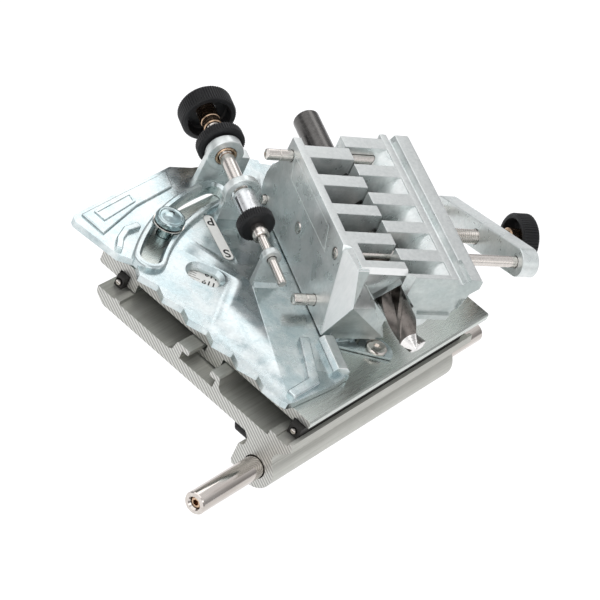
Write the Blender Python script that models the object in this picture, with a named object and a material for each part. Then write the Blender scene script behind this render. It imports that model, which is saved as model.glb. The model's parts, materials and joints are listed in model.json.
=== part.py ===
"""Drill bit sharpening fixture on a 12 mm support bar.

World frame: origin on the bar axis at the near end of the base extrusion,
+X along the bar, +Y across the table, +Z normal to the table.
The holder works in its own frame: u towards the drill tip, v in the clamping
direction, z up. All numbers below are millimetres until scaled by MM.
"""
import math

import bmesh
import bpy
from mathutils import Vector

MM = 0.001

# ---- driving dimensions ----------------------------------------------------
BAR_R = 6.0
BAR_X0, BAR_X1 = -47.0, 196.0
BASE_X0, BASE_X1 = 0.0, 158.0
BORE_R = 6.5
BOSS_R = 11.5
STRIP_INSET = 8.0
STRIP_BORE_R = 1.9
STRIP_SCREW_R = 1.55
SLED_X0, SLED_X1 = 11.5, 169.5
SLED_BOTTOM, SLED_TOP = 29.5, 35.7
PLATE_Z0, PLATE_Z1 = 36.0, 40.0
PIVOT = (84.0, 3.5)
LOCK_RADIUS = 123.0
LOCK_ANGLE = 107.6
SLOT_ANGLES = (86.0, 121.6)
SLOT_HALF = 4.8
RIM_HALF = 9.0
RIM_TOP = 43.0
WINDOW_ANGLE = 118.6
WINDOW_RADIUS = 94.0
TOOTH_PITCH = 17.45
HOLDER_ANGLE = 59.0
DRILL_V, DRILL_Z, DRILL_R = 68.7, 68.0, 7.2
DRILL_TIP, DRILL_END = -16.0, -189.0
FLUTE_START = -122.5
FLUTE_LEAD = 96.0
FLUTE_PHASE = 87.0
FLUTE_DEPTH = 4.9
FLUTE_SHARE = 0.52
DRILL_SEGMENTS = 30
JAW_TOP, JAW_BOTTOM = 88.0, 40.6
FEED_V, FEED_Z = 17.4, 58.0
# guide plate ears: v from, v to, ring radius, u from, u to
EARS = (
    (6.8, 28.0, 10.0, -171.5, -165.7),
    (9.4, 25.4, 9.8, -140.6, -135.9),
    (12.6, 24.0, 5.4, -91.2, -87.2),
)
# bores through the ears: u from, u to, radius
EAR_BORES = ((-173.0, -164.0, 6.1), (-142.0, -134.0, 6.4), (-93.0, -86.0, 2.75))
# foot of the front ear beside the lower jaw pin's path, as (v, z)
EAR_FOOT = ((18.0, 39.4), (34.0, 39.4), (26.6, 44.2), (24.2, 51.0), (18.0, 51.0))
# lugs beside the holder's channel: u from, u to, top
GUIDE_LUGS = ((-180.0, -172.6, 52.0), (-164.0, -157.0, 47.0))
ROD_FRONT = (-71.5, 78.8)
ROD_REAR = (-148.3, 44.8)
PIN_UPPER = (-142.8, 80.4)
PIN_LOWER = (-70.3, 47.6)
SCREW_AXIS = (-109.9, 60.8)
PLUG_AXIS = (-109.9, 60.4)
# jaw slats along u, as (from, to)
LEFT_SLATS = ((-143.0, -133.6), (-120.9, -112.3), (-99.0, -91.0), (-78.2, -69.8), (-57.6, -50.0))
RIGHT_SLATS = (
    (-152.6, -144.0),
    (-130.9, -122.0),
    (-109.2, -100.2),
    (-88.0, -79.4),
    (-67.4, -58.8),
)
LOCK_KNOB_X = 30.0
SHARP_EDGE = 32.0
SHY = 0.01

COS_H = math.cos(math.radians(HOLDER_ANGLE))
SIN_H = math.sin(math.radians(HOLDER_ANGLE))

# ---- materials: colour, roughness, metallic ---------------------------------
FINISHES = {
    "extrusion": ((0.50, 0.49, 0.46), 0.50, 0.75),
    "sled": ((0.60, 0.63, 0.60), 0.38, 0.75),
    "zinc": ((0.66, 0.72, 0.74), 0.30, 0.90),
    "steel": ((0.62, 0.59, 0.56), 0.20, 1.00),
    "bronze": ((0.56, 0.40, 0.25), 0.35, 0.90),
    "black": ((0.02, 0.02, 0.022), 0.45, 0.0),
    "dark_steel": ((0.19, 0.18, 0.17), 0.30, 0.90),
    "white": ((0.86, 0.86, 0.84), 0.50, 0.0),
    "polymer": ((0.05, 0.045, 0.04), 0.55, 0.0),
}


# ---- frames -----------------------------------------------------------------
def world(x, y, z):
    return Vector((x, y, z))


def holder(u, v, z):
    return Vector((-COS_H * u + SIN_H * v, -SIN_H * u - COS_H * v, z))


def along_x(a, b, t):
    return world(t, a, b)


def along_y(a, b, t):
    return world(a, t, b)


def along_z(a, b, t):
    return world(a, b, t)


def along_u(a, b, t):
    return holder(t, a, b)


def along_v(a, b, t):
    return holder(a, t, b)


def holder_z(a, b, t):
    return holder(a, b, t)


def polar(radius, degrees):
    angle = math.radians(degrees)
    return (PIVOT[0] + radius * math.cos(angle), PIVOT[1] + radius * math.sin(angle))


# ---- mesh helpers -------------------------------------------------------------
def clear_scene():
    for obj in list(bpy.data.objects):
        bpy.data.objects.remove(obj, do_unlink=True)


def make_material(name):
    colour, roughness, metallic = FINISHES[name]
    mat = bpy.data.materials.new(name)
    mat.use_nodes = True
    shader = mat.node_tree.nodes["Principled BSDF"]
    shader.inputs["Base Color"].default_value = (*colour, 1.0)
    shader.inputs["Roughness"].default_value = roughness
    shader.inputs["Metallic"].default_value = metallic
    mat.diffuse_color = (*colour, 1.0)
    return mat


def to_object(name, bm, finish=None):
    bmesh.ops.remove_doubles(bm, verts=bm.verts, dist=0.00002)
    bmesh.ops.recalc_face_normals(bm, faces=bm.faces)
    mesh = bpy.data.meshes.new(name)
    bm.to_mesh(mesh)
    bm.free()
    obj = bpy.data.objects.new(name, mesh)
    bpy.context.scene.collection.objects.link(obj)
    if finish:
        mesh.materials.append(bpy.data.materials.get(finish) or make_material(finish))
    return obj


def prism(name, frame, outline, t0, t1, finish=None):
    bm = bmesh.new()
    low = [bm.verts.new(frame(a, b, t0) * MM) for a, b in outline]
    high = [bm.verts.new(frame(a, b, t1) * MM) for a, b in outline]
    bm.faces.new(low)
    bm.faces.new(list(reversed(high)))
    count = len(outline)
    for i in range(count):
        j = (i + 1) % count
        bm.faces.new((low[i], high[i], high[j], low[j]))
    return to_object(name, bm, finish)


def turned(name, frame, centre, profile, segments=32, finish=None, depth=0.0, grooved=()):
    """Revolve (t, r) points about the frame's third axis; grooved rings alternate by depth."""
    bm = bmesh.new()
    rings = []
    for index, (t, r) in enumerate(profile):
        if r < 1e-6:
            rings.append([bm.verts.new(frame(centre[0], centre[1], t) * MM)])
            continue
        ring = []
        for k in range(segments):
            angle = 2.0 * math.pi * k / segments
            radius = r - depth * (k % 2) if index in grooved else r
            a = centre[0] + radius * math.cos(angle)
            b = centre[1] + radius * math.sin(angle)
            ring.append(bm.verts.new(frame(a, b, t) * MM))
        rings.append(ring)
    closed = len(rings[0]) > 1 and len(rings[-1]) > 1
    pairs = len(rings) if closed else len(rings) - 1
    for i in range(pairs):
        bridge(bm, rings[i], rings[(i + 1) % len(rings)])
    return to_object(name, bm, finish)


def bridge(bm, first, second):
    count = max(len(first), len(second))
    for k in range(count):
        n = (k + 1) % count
        corners = [first[k % len(first)], first[n % len(first)]]
        corners += [second[n % len(second)], second[k % len(second)]]
        unique = list(dict.fromkeys(corners))
        if len(unique) > 2:
            bm.faces.new(unique)


def rod(name, frame, centre, t0, t1, radius, finish=None, chamfer=0.0, segments=24):
    if chamfer:
        profile = [(t0, 0), (t0, radius - chamfer), (t0 + chamfer, radius)]
        profile += [(t1 - chamfer, radius), (t1, radius - chamfer), (t1, 0)]
    else:
        profile = [(t0, 0), (t0, radius), (t1, radius), (t1, 0)]
    return turned(name, frame, centre, profile, segments, finish)


def combine(target, others, operation):
    for other in others:
        mod = target.modifiers.new("bool", "BOOLEAN")
        mod.operation = operation
        mod.solver = "EXACT"
        mod.object = other
        depsgraph = bpy.context.evaluated_depsgraph_get()
        result = bpy.data.meshes.new_from_object(target.evaluated_get(depsgraph))
        target.modifiers.clear()
        old = target.data
        target.data = result
        bpy.data.meshes.remove(old)
        bpy.data.objects.remove(other, do_unlink=True)
    return target


def add(target, *others):
    return combine(target, others, "UNION")


def cut(target, *others):
    return combine(target, others, "DIFFERENCE")


def arc(centre, radius, start, end, steps):
    points = []
    for i in range(steps + 1):
        angle = math.radians(start + (end - start) * i / steps)
        points.append((centre[0] + radius * math.cos(angle), centre[1] + radius * math.sin(angle)))
    return points


def box(frame, a0, a1, b0, b1, t0, t1):
    return prism("tool", frame, [(a0, b0), (a1, b0), (a1, b1), (a0, b1)], t0, t1)


def hole(frame, centre, t0, t1, radius, segments=32):
    return rod("tool", frame, centre, t0, t1, radius, segments=segments)


def set_origin(name, point):
    obj = bpy.data.objects[name]
    shift = point * MM
    for vert in obj.data.vertices:
        vert.co -= shift
    obj.location = shift


# ---- support bar ----------------------------------------------------------------
def build_bar():
    bar = rod("support_bar", along_x, (0, 0), BAR_X0, BAR_X1, BAR_R, "steel", 0.8, 40)
    cut(bar, hole(along_x, (0, 0), BAR_X0 - 5, BAR_X0 + 13, 3.5))
    mouth = [(BAR_X0 - 1, 0), (BAR_X0 - 1, 5.0), (BAR_X0 + 1.2, 3.4), (BAR_X0 + 1.2, 0)]
    cut(bar, turned("tool", along_x, (0, 0), mouth))
    screw_x0, screw_x1 = BAR_X0 + 1.4, BAR_X0 + 11.5
    screw = rod("bar_end_screw", along_x, (0, 0), screw_x0, screw_x1, 3.15, "dark_steel", 0.4)
    socket = rod("tool", along_x, (0, 0), BAR_X0 - 1, BAR_X0 + 5, 1.8, segments=6)
    cut(screw, socket)


# ---- base extrusion -------------------------------------------------------------
def base_outline():
    """Section of the extrusion as (y, z): deck, rails, T channel, hooked edge, bar boss."""
    deck = [(12.8, 14.2), (112.6, 14.2), (117.6, 17.6), (118.9, 19.8), (118.9, 22.1)]
    deck += [(107.4, 22.1), (107.4, 23.2), (104.2, 23.2), (103.6, 21.6), (69.6, 21.6)]
    channel = [(67.2, 23.0), (66.0, 28.2), (65.2, 28.9), (57.4, 28.9), (57.4, 26.0)]
    channel += [(61.5, 26.0), (61.5, 21.2), (38.7, 21.2), (38.7, 26.0), (42.8, 26.0)]
    channel += [(42.8, 29.0), (37.6, 29.0), (36.6, 28.2), (35.2, 23.4), (33.2, 21.8)]
    edge = [(1.9, 21.8), (1.1, 22.4), (1.1, 25.4), (-3.2, 25.4), (-3.2, 24.4)]
    edge += [(-11.0, 24.4), (-11.0, 26.6), (-13.0, 26.6), (-14.1, 22.6), (-12.6, 20.6)]
    edge += [(-8.8, 17.0), (-7.2, 14.8), (-6.6, 12.4), (-6.9, 10.4), (-8.2, 8.7)]
    boss = arc((0, 0), BOSS_R, 136, 318, 22)
    lip = [(10.6, -8.4), (11.8, -8.2), (13.2, -6.6), (13.2, 4.6), (12.2, 5.4)]
    lip += [(10.8, 5.8), (9.8, 7.4), (9.8, 11.0)]
    return deck + channel + edge + boss + lip


def build_base():
    outline = base_outline()
    base = prism("base_extrusion", along_x, outline, BASE_X0, BASE_X1, "extrusion")
    cut(base, hole(along_x, (0, 0), BASE_X0 - 5, BASE_X1 + 5, BORE_R, 40))
    cut(base, hole(along_y, (LOCK_KNOB_X, 0), 5.0, 20.0, 2.8, 24))
    build_strip("rear", 110.4, 115.6, 22.4, 29.5)
    build_strip("front", -10.6, -3.6, 24.7, 31.3)


def build_strip(side, y0, y1, z0, z1):
    """Black slide strip with a small screw in each end."""
    section = [(y0, z0), (y1, z0), (y1, z1), (y0, z1)]
    middle = ((y0 + y1) / 2, (z0 + z1) / 2)
    near, far = BASE_X0 + STRIP_INSET, BASE_X1 - STRIP_INSET
    strip = prism("slide_strip_" + side, along_x, section, near, far, "polymer")
    cut(strip, hole(along_x, middle, near - 8, near + 11, STRIP_BORE_R, 16))
    cut(strip, hole(along_x, middle, far - 11, far + 8, STRIP_BORE_R, 16))
    name = "strip_screw_" + side
    rod(name + "_near", along_x, middle, near - 1.4, near + 9, STRIP_SCREW_R, "steel", 0.5, 16)
    rod(name + "_far", along_x, middle, far - 9, far + 1.4, STRIP_SCREW_R, "steel", 0.5, 16)


def build_bar_lock():
    centre = (LOCK_KNOB_X, 0)
    rod("bar_lock_screw", along_y, centre, 6.25, 25.0, 2.4, "steel", 0.4)
    profile = [(14.6, 3.0), (14.6, 11.6), (15.6, 12.8), (27.0, 12.8), (28.0, 11.6)]
    profile += [(28.0, 7.0), (26.6, 6.2), (26.6, 3.0)]
    turned("bar_lock_knob", along_y, centre, profile, 56, "black", 0.5, (2, 3))


# ---- sliding table ----------------------------------------------------------------
def sled_outline():
    """Section of the sliding table as (y, z): strips' channels, T rail and flat top."""
    low = [(-12.0, 31.7), (-2.8, 31.7), (-2.8, SLED_BOTTOM), (44.6, SLED_BOTTOM)]
    low += [(44.6, 25.4), (40.6, 25.4), (40.6, 21.9), (59.8, 21.9), (59.8, 25.4)]
    low += [(55.6, 25.4), (55.6, SLED_BOTTOM), (104.2, SLED_BOTTOM), (104.2, 23.8)]
    low += [(110.0, 23.8), (110.0, 29.9), (116.6, 29.9), (116.6, 24.6), (129.0, 24.6)]
    top = [(130.0, 25.6), (130.0, 34.9), (129.2, SLED_TOP), (-11.2, SLED_TOP), (-12.0, 34.9)]
    return low + top


def sector(r0, r1, a0, a1, steps):
    outer = arc(PIVOT, r1, a0, a1, steps)
    inner = arc(PIVOT, r0, a1, a0, steps)
    return outer + inner


def build_sled():
    sled = prism("sled_table", along_x, sled_outline(), SLED_X0, SLED_X1, "sled")
    lock = polar(LOCK_RADIUS, LOCK_ANGLE)
    recess = prism("tool", along_z, sector(80.4, 108.2, 99.0, 131.0, 20), 34.6, 40.0)
    cut(sled, recess, hole(along_z, lock, 20, 45, 4.3), hole(along_z, PIVOT, 28, 45, 3.4))
    prism("angle_scale", along_z, sector(80.8, 107.8, 99.3, 130.7, 20), 34.9, 35.6, "white")
    profile = [(30.2, 0), (30.2, 2.6), (30.8, 3.1), (38.1, 3.1)]
    profile += [(38.1, 5.6), (39.2, 5.6), (39.9, 4.6), (39.9, 0)]
    pin = turned("pivot_screw", along_z, PIVOT, profile, 32, "steel")
    cut(pin, rod("tool", along_z, PIVOT, 38.9, 42, 2.0, segments=6))


def build_angle_lock():
    lock = polar(LOCK_RADIUS, LOCK_ANGLE)
    profile = [(30.4, 0), (30.4, 3.6), (30.9, 4.0), (44.4, 4.0)]
    profile += [(44.4, 7.9), (47.4, 7.9), (48.4, 6.6), (48.4, 0)]
    turned("angle_lock_stud", along_z, lock, profile, 40, "steel")
    washer = [(43.35, 4.4), (43.35, 8.4), (44.1, 8.4), (44.1, 4.4)]
    turned("angle_lock_washer", along_z, lock, washer, 36, "steel")


# ---- guide plate ------------------------------------------------------------------
def xy(u, v):
    point = holder(u, v, 0)
    return (point.x, point.y)


def plate_outline():
    """Plate outline as (x, y): rear edge, scalloped angle edge, front and drill sides."""
    points = [(97.0, 147.2), (85.7, 153.6), (46.0, 152.6), (9.4, 151.4), (6.2, 150.4)]
    points += [(4.6, 147.6), (7.0, 118.9), (12.7, 111.0)]
    for k in range(6):
        tip = 102.9 - TOOTH_PITCH * k
        points.append((5.9 - 0.3 * k, tip))
        if k < 5:
            points.append((9.4 - 0.35 * k, tip - 10.4))
    points += [(4.9, 4.6), (6.4, 1.4), (10.0, 0.2), (41.7, -2.6), (51.6, -2.2)]
    points += [xy(-24.0, 45.8), xy(-50.0, 45.8), xy(-53.0, 62.0)]
    points += [xy(-184.0, 62.0), xy(-186.5, 46.0)]
    return points


def ear_outline(v0, v1, ring):
    left = arc((FEED_V, FEED_Z), ring, 8, 172, 14)
    return [(v1, PLATE_Z1 - 0.6)] + left + [(v0, PLATE_Z1 - 0.6)]


def slot_path(half):
    """Arc slot outline: outer arc, round end, inner arc, round end."""
    a0, a1 = SLOT_ANGLES
    outer = arc(PIVOT, LOCK_RADIUS + half, a0, a1, 20)
    far = polar(LOCK_RADIUS, a1)
    near = polar(LOCK_RADIUS, a0)
    inner = arc(PIVOT, LOCK_RADIUS - half, a1, a0, 20)
    cap_far = arc(far, half, a1, a1 + 180, 10)[1:-1]
    cap_near = arc(near, half, a0 + 180, a0 + 360, 10)[1:-1]
    return outer + cap_far + inner + cap_near


def window_path():
    """Oval reading window, longer along the radius from the pivot."""
    angle = math.radians(WINDOW_ANGLE)
    radial = (math.cos(angle), math.sin(angle))
    across = (-radial[1], radial[0])
    cx, cy = polar(WINDOW_RADIUS, WINDOW_ANGLE)
    points = []
    for k in range(28):
        t = 2 * math.pi * k / 28
        a = 5.5 * math.cos(t)
        b = 5.4 * math.sin(t) + math.copysign(3.2, math.sin(t))
        points.append((cx + radial[0] * b + across[0] * a, cy + radial[1] * b + across[1] * a))
    return points


def label_path(grow):
    """Round-ended outline of the position label, grown outwards."""
    corners = []
    for centre, start in (((-136.0, 4.4), 90), ((-108.6, 6.6), -90)):
        corners += [xy(u, v) for u, v in arc(centre, 2.9 + grow, start, start + 180, 8)]
    return corners


def build_guide():
    plate = prism("guide_plate", along_z, plate_outline(), PLATE_Z0, PLATE_Z1, "zinc")
    corner = [xy(-66.0, 57.0), xy(-66.0, 40.0), xy(-49.4, 44.0)]
    tongue = prism("tool", along_z, corner + arc(PIVOT, 9.4, -75, 135, 14), PLATE_Z0, 37.7)
    rim = prism("tool", along_z, slot_path(RIM_HALF), PLATE_Z0 + 0.5, RIM_TOP)
    rib = [xy(-49.0, 25.6), xy(-49.0, 31.4), xy(-17.0, 26.4)]
    rib += [xy(-6.6, 8.6), xy(-11.5, 6.2), xy(-20.5, 20.6)]
    ledge = prism("tool", along_z, rib, PLATE_Z0 + 0.5, 42.6)
    block = [(35.8, 39.5), (45.4, 39.5), (45.4, 42.6), (43.2, 45.0), (38.2, 45.0), (35.8, 42.6)]
    stop_block = prism("tool", along_u, block, -48.0, -24.6)
    pad = [(11.0, 149.4), (47.0, 150.6), (80.0, 151.4), (74.0, 141.0), (44.0, 139.6), (11.0, 133.0)]
    raised = prism("tool", along_z, pad, PLATE_Z0 + 0.5, 41.2)
    add(plate, tongue, rim, ledge, stop_block, raised)
    for v0, v1, ring, u0, u1 in EARS:
        add(plate, prism("tool", along_u, ear_outline(v0, v1, ring), u0, u1))
    add(plate, prism("tool", along_u, EAR_FOOT, EARS[2][3] + SHY, EARS[2][4] - SHY))
    for u0, u1, top in GUIDE_LUGS:
        add(plate, box(holder_z, u0, u1, 30.2, 36.2, PLATE_Z0 + 0.5, top))
    cut(plate, prism("tool", along_z, slot_path(SLOT_HALF), 30, 50))
    cut(plate, prism("tool", along_z, window_path(), 30, 50))
    cut(plate, prism("tool", along_z, label_path(0.3), 39.3, 50))
    cut(plate, box(holder_z, -200, -50.4, 49.8, 58.2, 38.0, 50))
    feed = (FEED_V, FEED_Z)
    for u0, u1, radius in EAR_BORES:
        cut(plate, hole(along_u, feed, u0, u1, radius))
    cut(plate, hole(along_z, PIVOT, 30, 45, 3.45))
    prism("position_label", along_z, label_path(0.0), 39.6, 40.15, "white")
    bush = [(-172.2, 4.35), (-172.2, 5.75), (-165.0, 5.75), (-165.0, 4.35)]
    turned("feed_bush", along_u, feed, bush, 32, "bronze")


# ---- feed screw ---------------------------------------------------------------------
def cup_profile(back, front, radius, wall, web, bore):
    """Knurled cup knob open at the front end."""
    sign = 1.0 if front > back else -1.0
    floor = back + web * sign
    points = [(back, bore), (back, radius - 1.2), (back + sign, radius)]
    points += [(front - sign, radius), (front, radius - 1.0), (front, radius - wall)]
    return points + [(floor, radius - wall - 0.8), (floor, bore)]


def wheel_profile(back, front, bore, radius):
    """Flat knurled wheel with chamfered rims."""
    points = [(back, bore), (back, radius - 1.1), (back + 1.0, radius)]
    return points + [(front - 1.0, radius), (front, radius - 1.1), (front, bore)]


def build_feed():
    feed = (FEED_V, FEED_Z)
    cup = cup_profile(-206.0, -195.0, 15.0, 3.2, 4.0, 5.6)
    turned("feed_knob", along_u, feed, cup, 72, "black", 0.55, (2, 3))
    hub = [(-205.2, 4.35), (-205.2, 5.25), (-188.5, 5.25), (-188.5, 4.35)]
    turned("feed_knob_hub", along_u, feed, hub, 32, "bronze")
    rod("feed_screw", along_u, feed, -206.2, -136.2, 4.0, "steel", 0.5, 32)
    wheel = wheel_profile(-179.0, -172.7, 4.4, 13.0)
    turned("feed_lock_wheel", along_u, feed, wheel, 60, "black", 0.45, (2, 3))
    tube = [(-135.2, 2.75), (-135.2, 5.5), (-134.7, 6.0), (-117.8, 6.0), (-117.8, 2.75)]
    sleeve = turned("split_sleeve", along_u, feed, tube, 36, "zinc")
    slit_v0, slit_v1 = FEED_V - 9, FEED_V - 2.8
    slit_z0, slit_z1 = FEED_Z + 0.2, FEED_Z + 1.1
    cut(sleeve, box(holder_z, -131.5, -115.0, slit_v0, slit_v1, slit_z0, slit_z1))
    stop = wheel_profile(-117.4, -110.8, 2.8, 9.8)
    turned("stop_wheel", along_u, feed, stop, 52, "black", 0.45, (2, 3))
    collar = [(-110.4, 2.75), (-110.4, 4.3), (-103.8, 4.3), (-103.2, 3.7), (-103.2, 2.75)]
    turned("stop_collar", along_u, feed, collar, 28, "steel")
    rod("stop_rod", along_u, feed, -135.7, -69.5, 2.4, "steel", 0.4, 20)


# ---- drill holder -----------------------------------------------------------------------
def build_fixed_jaw():
    cheek = [(-66.0, JAW_TOP), (-55.4, 53.0), (-51.7, JAW_BOTTOM), (-140.0, JAW_BOTTOM)]
    cheek += [(-151.0, 41.0), (-155.2, 44.6), (-157.4, 50.0), (-157.8, 56.0)]
    cheek += [(-156.4, 62.0), (-152.6, 67.6), (-149.4, 73.0), (-148.8, JAW_TOP)]
    jaw = prism("fixed_jaw", along_v, cheek, 39.2, 44.2, "zinc")
    filler = [(43.6, JAW_BOTTOM), (58.0, JAW_BOTTOM), (58.0, 61.0), (54.0, 67.0)]
    filler += [(48.0, 80.0), (43.6, 83.0)]
    add(jaw, prism("tool", along_u, filler, -143.0, -50.0))
    low, high = JAW_BOTTOM + SHY, JAW_TOP - SHY
    slat = [(43.5, low), (70.0, low), (70.0, 56.1), (58.1, DRILL_Z)]
    slat += [(70.0, 79.9), (70.0, high), (43.5, high)]
    for u0, u1 in LEFT_SLATS:
        add(jaw, prism("tool", along_u, slat, u0 + SHY, u1 - SHY))
    add(jaw, box(holder_z, -142.0, -54.0, 50.2, 57.8, 38.4, JAW_BOTTOM + 1.0))
    add(jaw, *jaw_nose())
    for centre, radius in ((ROD_FRONT, 3.3), (ROD_REAR, 3.0), (PIN_UPPER, 3.3), (PIN_LOWER, 3.3)):
        cut(jaw, hole(along_v, centre, 30, 80, radius, 24))
    cut(jaw, hole(along_v, PLUG_AXIS, 30, 52, 3.3, 24))
    rod("jaw_plug", along_v, PLUG_AXIS, 38.9, 51.0, 3.0, "steel", 0.4)


def hull(corners):
    """Closed convex solid around points given as (u, v, z)."""
    bm = bmesh.new()
    bmesh.ops.convex_hull(bm, input=[bm.verts.new(holder(u, v, z) * MM) for u, v, z in corners])
    return to_object("tool", bm)


def jaw_nose():
    """Pointed front of the fixed jaw: flat outer facet and the block under the vee."""
    facet = [(-66.2, 39.2, 87.9), (-50.0, 41.5, 87.2), (-41.0, 42.1, 70.0), (-51.7, 39.2, 40.7)]
    inner = [(-66.2, 47.8, 87.9), (-50.1, 47.8, 87.2), (-51.7, 47.8, 40.7), (-60.0, 44.4, 60.0)]
    front = [(-50.0, 41.8, 84.2), (-41.1, 42.2, 70.0), (-48.6, 59.6, 63.6), (-50.2, 58.1, DRILL_Z)]
    low = [(-51.6, 39.6, 40.8), (-51.2, 75.2, 40.8), (-57.5, 69.9, 40.8), (-57.5, 69.9, 56.1)]
    back = [(-57.5, 58.1, DRILL_Z), (-57.5, 44.0, 82.0), (-57.5, 44.0, 40.8)]
    return [hull(facet + inner), hull(front + low + back)]


def build_movable_jaw():
    high = JAW_TOP - SHY
    wall = [(93.0, 46.0), (96.4, 48.0), (105.6, 70.0), (107.4, 78.0), (111.6, 82.0)]
    wall += [(111.6, 86.6), (110.2, JAW_TOP), (102.4, JAW_TOP), (100.6, 84.6), (98.6, 84.6)]
    wall += [(97.0, JAW_TOP), (93.0, JAW_TOP)]
    jaw = prism("movable_jaw", along_u, wall, -156.5, -46.0, "zinc")
    filler = [(93.5, 46.1), (93.5, 87.6), (89.0, 85.4), (84.6, 80.6), (80.6, 73.0)]
    filler += [(80.6, 57.0), (86.0, 46.1)]
    add(jaw, prism("tool", along_u, filler, -152.0, -46.0 - SHY))
    slat = [(93.6, 45.0), (93.6, high), (68.3, high), (68.3, 79.0), (79.3, DRILL_Z)]
    slat += [(68.3, 57.0), (68.3, 45.0)]
    for u0, u1 in RIGHT_SLATS:
        add(jaw, prism("tool", along_u, slat, u0, u1))
    front = [(68.3, high), (68.3, 79.0), (79.3, DRILL_Z), (74.0, 62.7), (74.0, 57.0)]
    front += [(93.6, 57.0), (93.6, high)]
    add(jaw, prism("tool", along_u, front, -49.2, -46.0 - 2 * SHY))
    cut(jaw, box(holder_z, -55.0, -40.0, 60.0, 115.0, 40.0, 60.0))
    add(jaw, prism("tool", along_v, arc(SCREW_AXIS, 8.0, 0, 345, 23), 92.0, 109.6))
    bores = ((ROD_FRONT, 3.3, 120), (ROD_REAR, 3.0, 120), (PIN_UPPER, 3.3, 108), (PIN_LOWER, 3.3, 94))
    for centre, radius, depth in bores:
        cut(jaw, hole(along_v, centre, 60, depth, radius, 24))
    rod("jaw_pin_upper", along_v, PIN_UPPER, 24.6, 107.6, 3.0, "steel", 0.6)
    rod("jaw_pin_lower", along_v, PIN_LOWER, 27.3, 93.4, 3.0, "steel", 0.6)


def yoke_outline(radius):
    (u0, z0), (u1, z1) = ROD_REAR, ROD_FRONT
    tilt = math.degrees(math.atan2(z1 - z0, u1 - u0))
    front_end = arc(ROD_FRONT, radius, tilt - 90, tilt + 90, 14)
    rear_end = arc(ROD_REAR, radius, tilt + 90, tilt + 270, 14)
    return front_end + rear_end


def build_yoke():
    yoke = prism("clamp_yoke", along_v, yoke_outline(7.8), 145.0, 155.0, "zinc")
    cut(yoke, hole(along_v, ROD_FRONT, 140, 160, 3.3, 24), hole(along_v, ROD_REAR, 140, 160, 3.0, 24))
    cut(yoke, hole(along_v, SCREW_AXIS, 140, 160, 4.3, 24))
    rod("guide_rod_front", along_v, ROD_FRONT, 38.9, 155.4, 3.0, "steel", 0.5)
    rod("guide_rod_rear", along_v, ROD_REAR, 37.0, 155.4, 2.7, "steel", 0.5)


def build_clamp():
    centre = SCREW_AXIS
    rod("clamp_screw", along_v, centre, 110.0, 176.6, 3.95, "steel", 0.8, 28)
    hub = [(164.4, 4.3), (164.4, 5.2), (165.0, 5.8), (175.6, 5.8), (175.6, 4.3)]
    turned("clamp_knob_hub", along_v, centre, hub, 28, "bronze")
    cup = cup_profile(177.4, 167.4, 13.8, 3.0, 3.6, 6.1)
    turned("clamp_knob", along_v, centre, cup, 64, "black", 0.5, (2, 3))


def flute_radius(angle, depth):
    """Two-flute drill section as a radius over angle; depth 0 is the plain shank."""
    wrap = (angle % math.pi) / math.pi
    if wrap > FLUTE_SHARE:
        return DRILL_R
    scoop = math.sin(math.pi * wrap / FLUTE_SHARE)
    return DRILL_R - depth * FLUTE_DEPTH * scoop ** 0.8


def build_drill():
    bm = bmesh.new()
    stations = [DRILL_END, DRILL_END + 0.8]
    stations += [FLUTE_START + 3.0 * i for i in range(35)]
    rings = []
    for t in stations:
        depth = min(1.0, max(0.0, (t - FLUTE_START) / 10.0))
        twist = 2 * math.pi * max(t, FLUTE_START) / FLUTE_LEAD + math.radians(FLUTE_PHASE)
        chamfer = 0.8 if t == DRILL_END else 0.0
        ring = []
        for k in range(DRILL_SEGMENTS):
            angle = 2 * math.pi * k / DRILL_SEGMENTS
            r = flute_radius(angle, depth) - chamfer
            a = DRILL_V + r * math.cos(angle + twist)
            b = DRILL_Z + r * math.sin(angle + twist)
            ring.append(bm.verts.new(holder(t, a, b) * MM))
        rings.append(ring)
    for first, second in zip(rings, rings[1:]):
        bridge(bm, first, second)
    for ring, t in ((rings[0], DRILL_END), (rings[-1], DRILL_TIP)):
        bridge(bm, ring, [bm.verts.new(holder(t, DRILL_V, DRILL_Z) * MM)])
    to_object("drill_bit", bm, "dark_steel")


def build_holder():
    build_fixed_jaw()
    build_movable_jaw()
    build_yoke()
    build_clamp()
    build_drill()


# ---- origins and shading ---------------------------------------------------------------
def place_origins():
    """Each moving piece gets its origin on the axis of its joint."""
    pivot = world(PIVOT[0], PIVOT[1], 38)
    bar_lock = world(LOCK_KNOB_X, 20, 0)
    angle_lock = world(*polar(LOCK_RADIUS, LOCK_ANGLE), 40)
    feed = holder(-160, FEED_V, FEED_Z)
    drill = holder(-110, DRILL_V, DRILL_Z)
    clamp = holder(SCREW_AXIS[0], 160, SCREW_AXIS[1])
    groups = (
        (pivot, ("guide_plate", "position_label", "feed_bush")),
        (bar_lock, ("bar_lock_screw", "bar_lock_knob")),
        (angle_lock, ("angle_lock_stud", "angle_lock_washer")),
        (feed, ("feed_knob", "feed_knob_hub", "feed_screw", "feed_lock_wheel")),
        (feed, ("split_sleeve", "stop_wheel", "stop_collar", "stop_rod")),
        (drill, ("fixed_jaw", "jaw_plug", "clamp_yoke", "drill_bit")),
        (drill, ("guide_rod_front", "guide_rod_rear")),
        (clamp, ("movable_jaw", "jaw_pin_upper", "jaw_pin_lower")),
        (clamp, ("clamp_screw", "clamp_knob_hub", "clamp_knob")),
    )
    for point, names in groups:
        for name in names:
            set_origin(name, point)


def shade_round_faces():
    for obj in bpy.data.objects:
        obj.data.shade_smooth()
        obj.data.set_sharp_from_angle(angle=math.radians(SHARP_EDGE))


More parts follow.
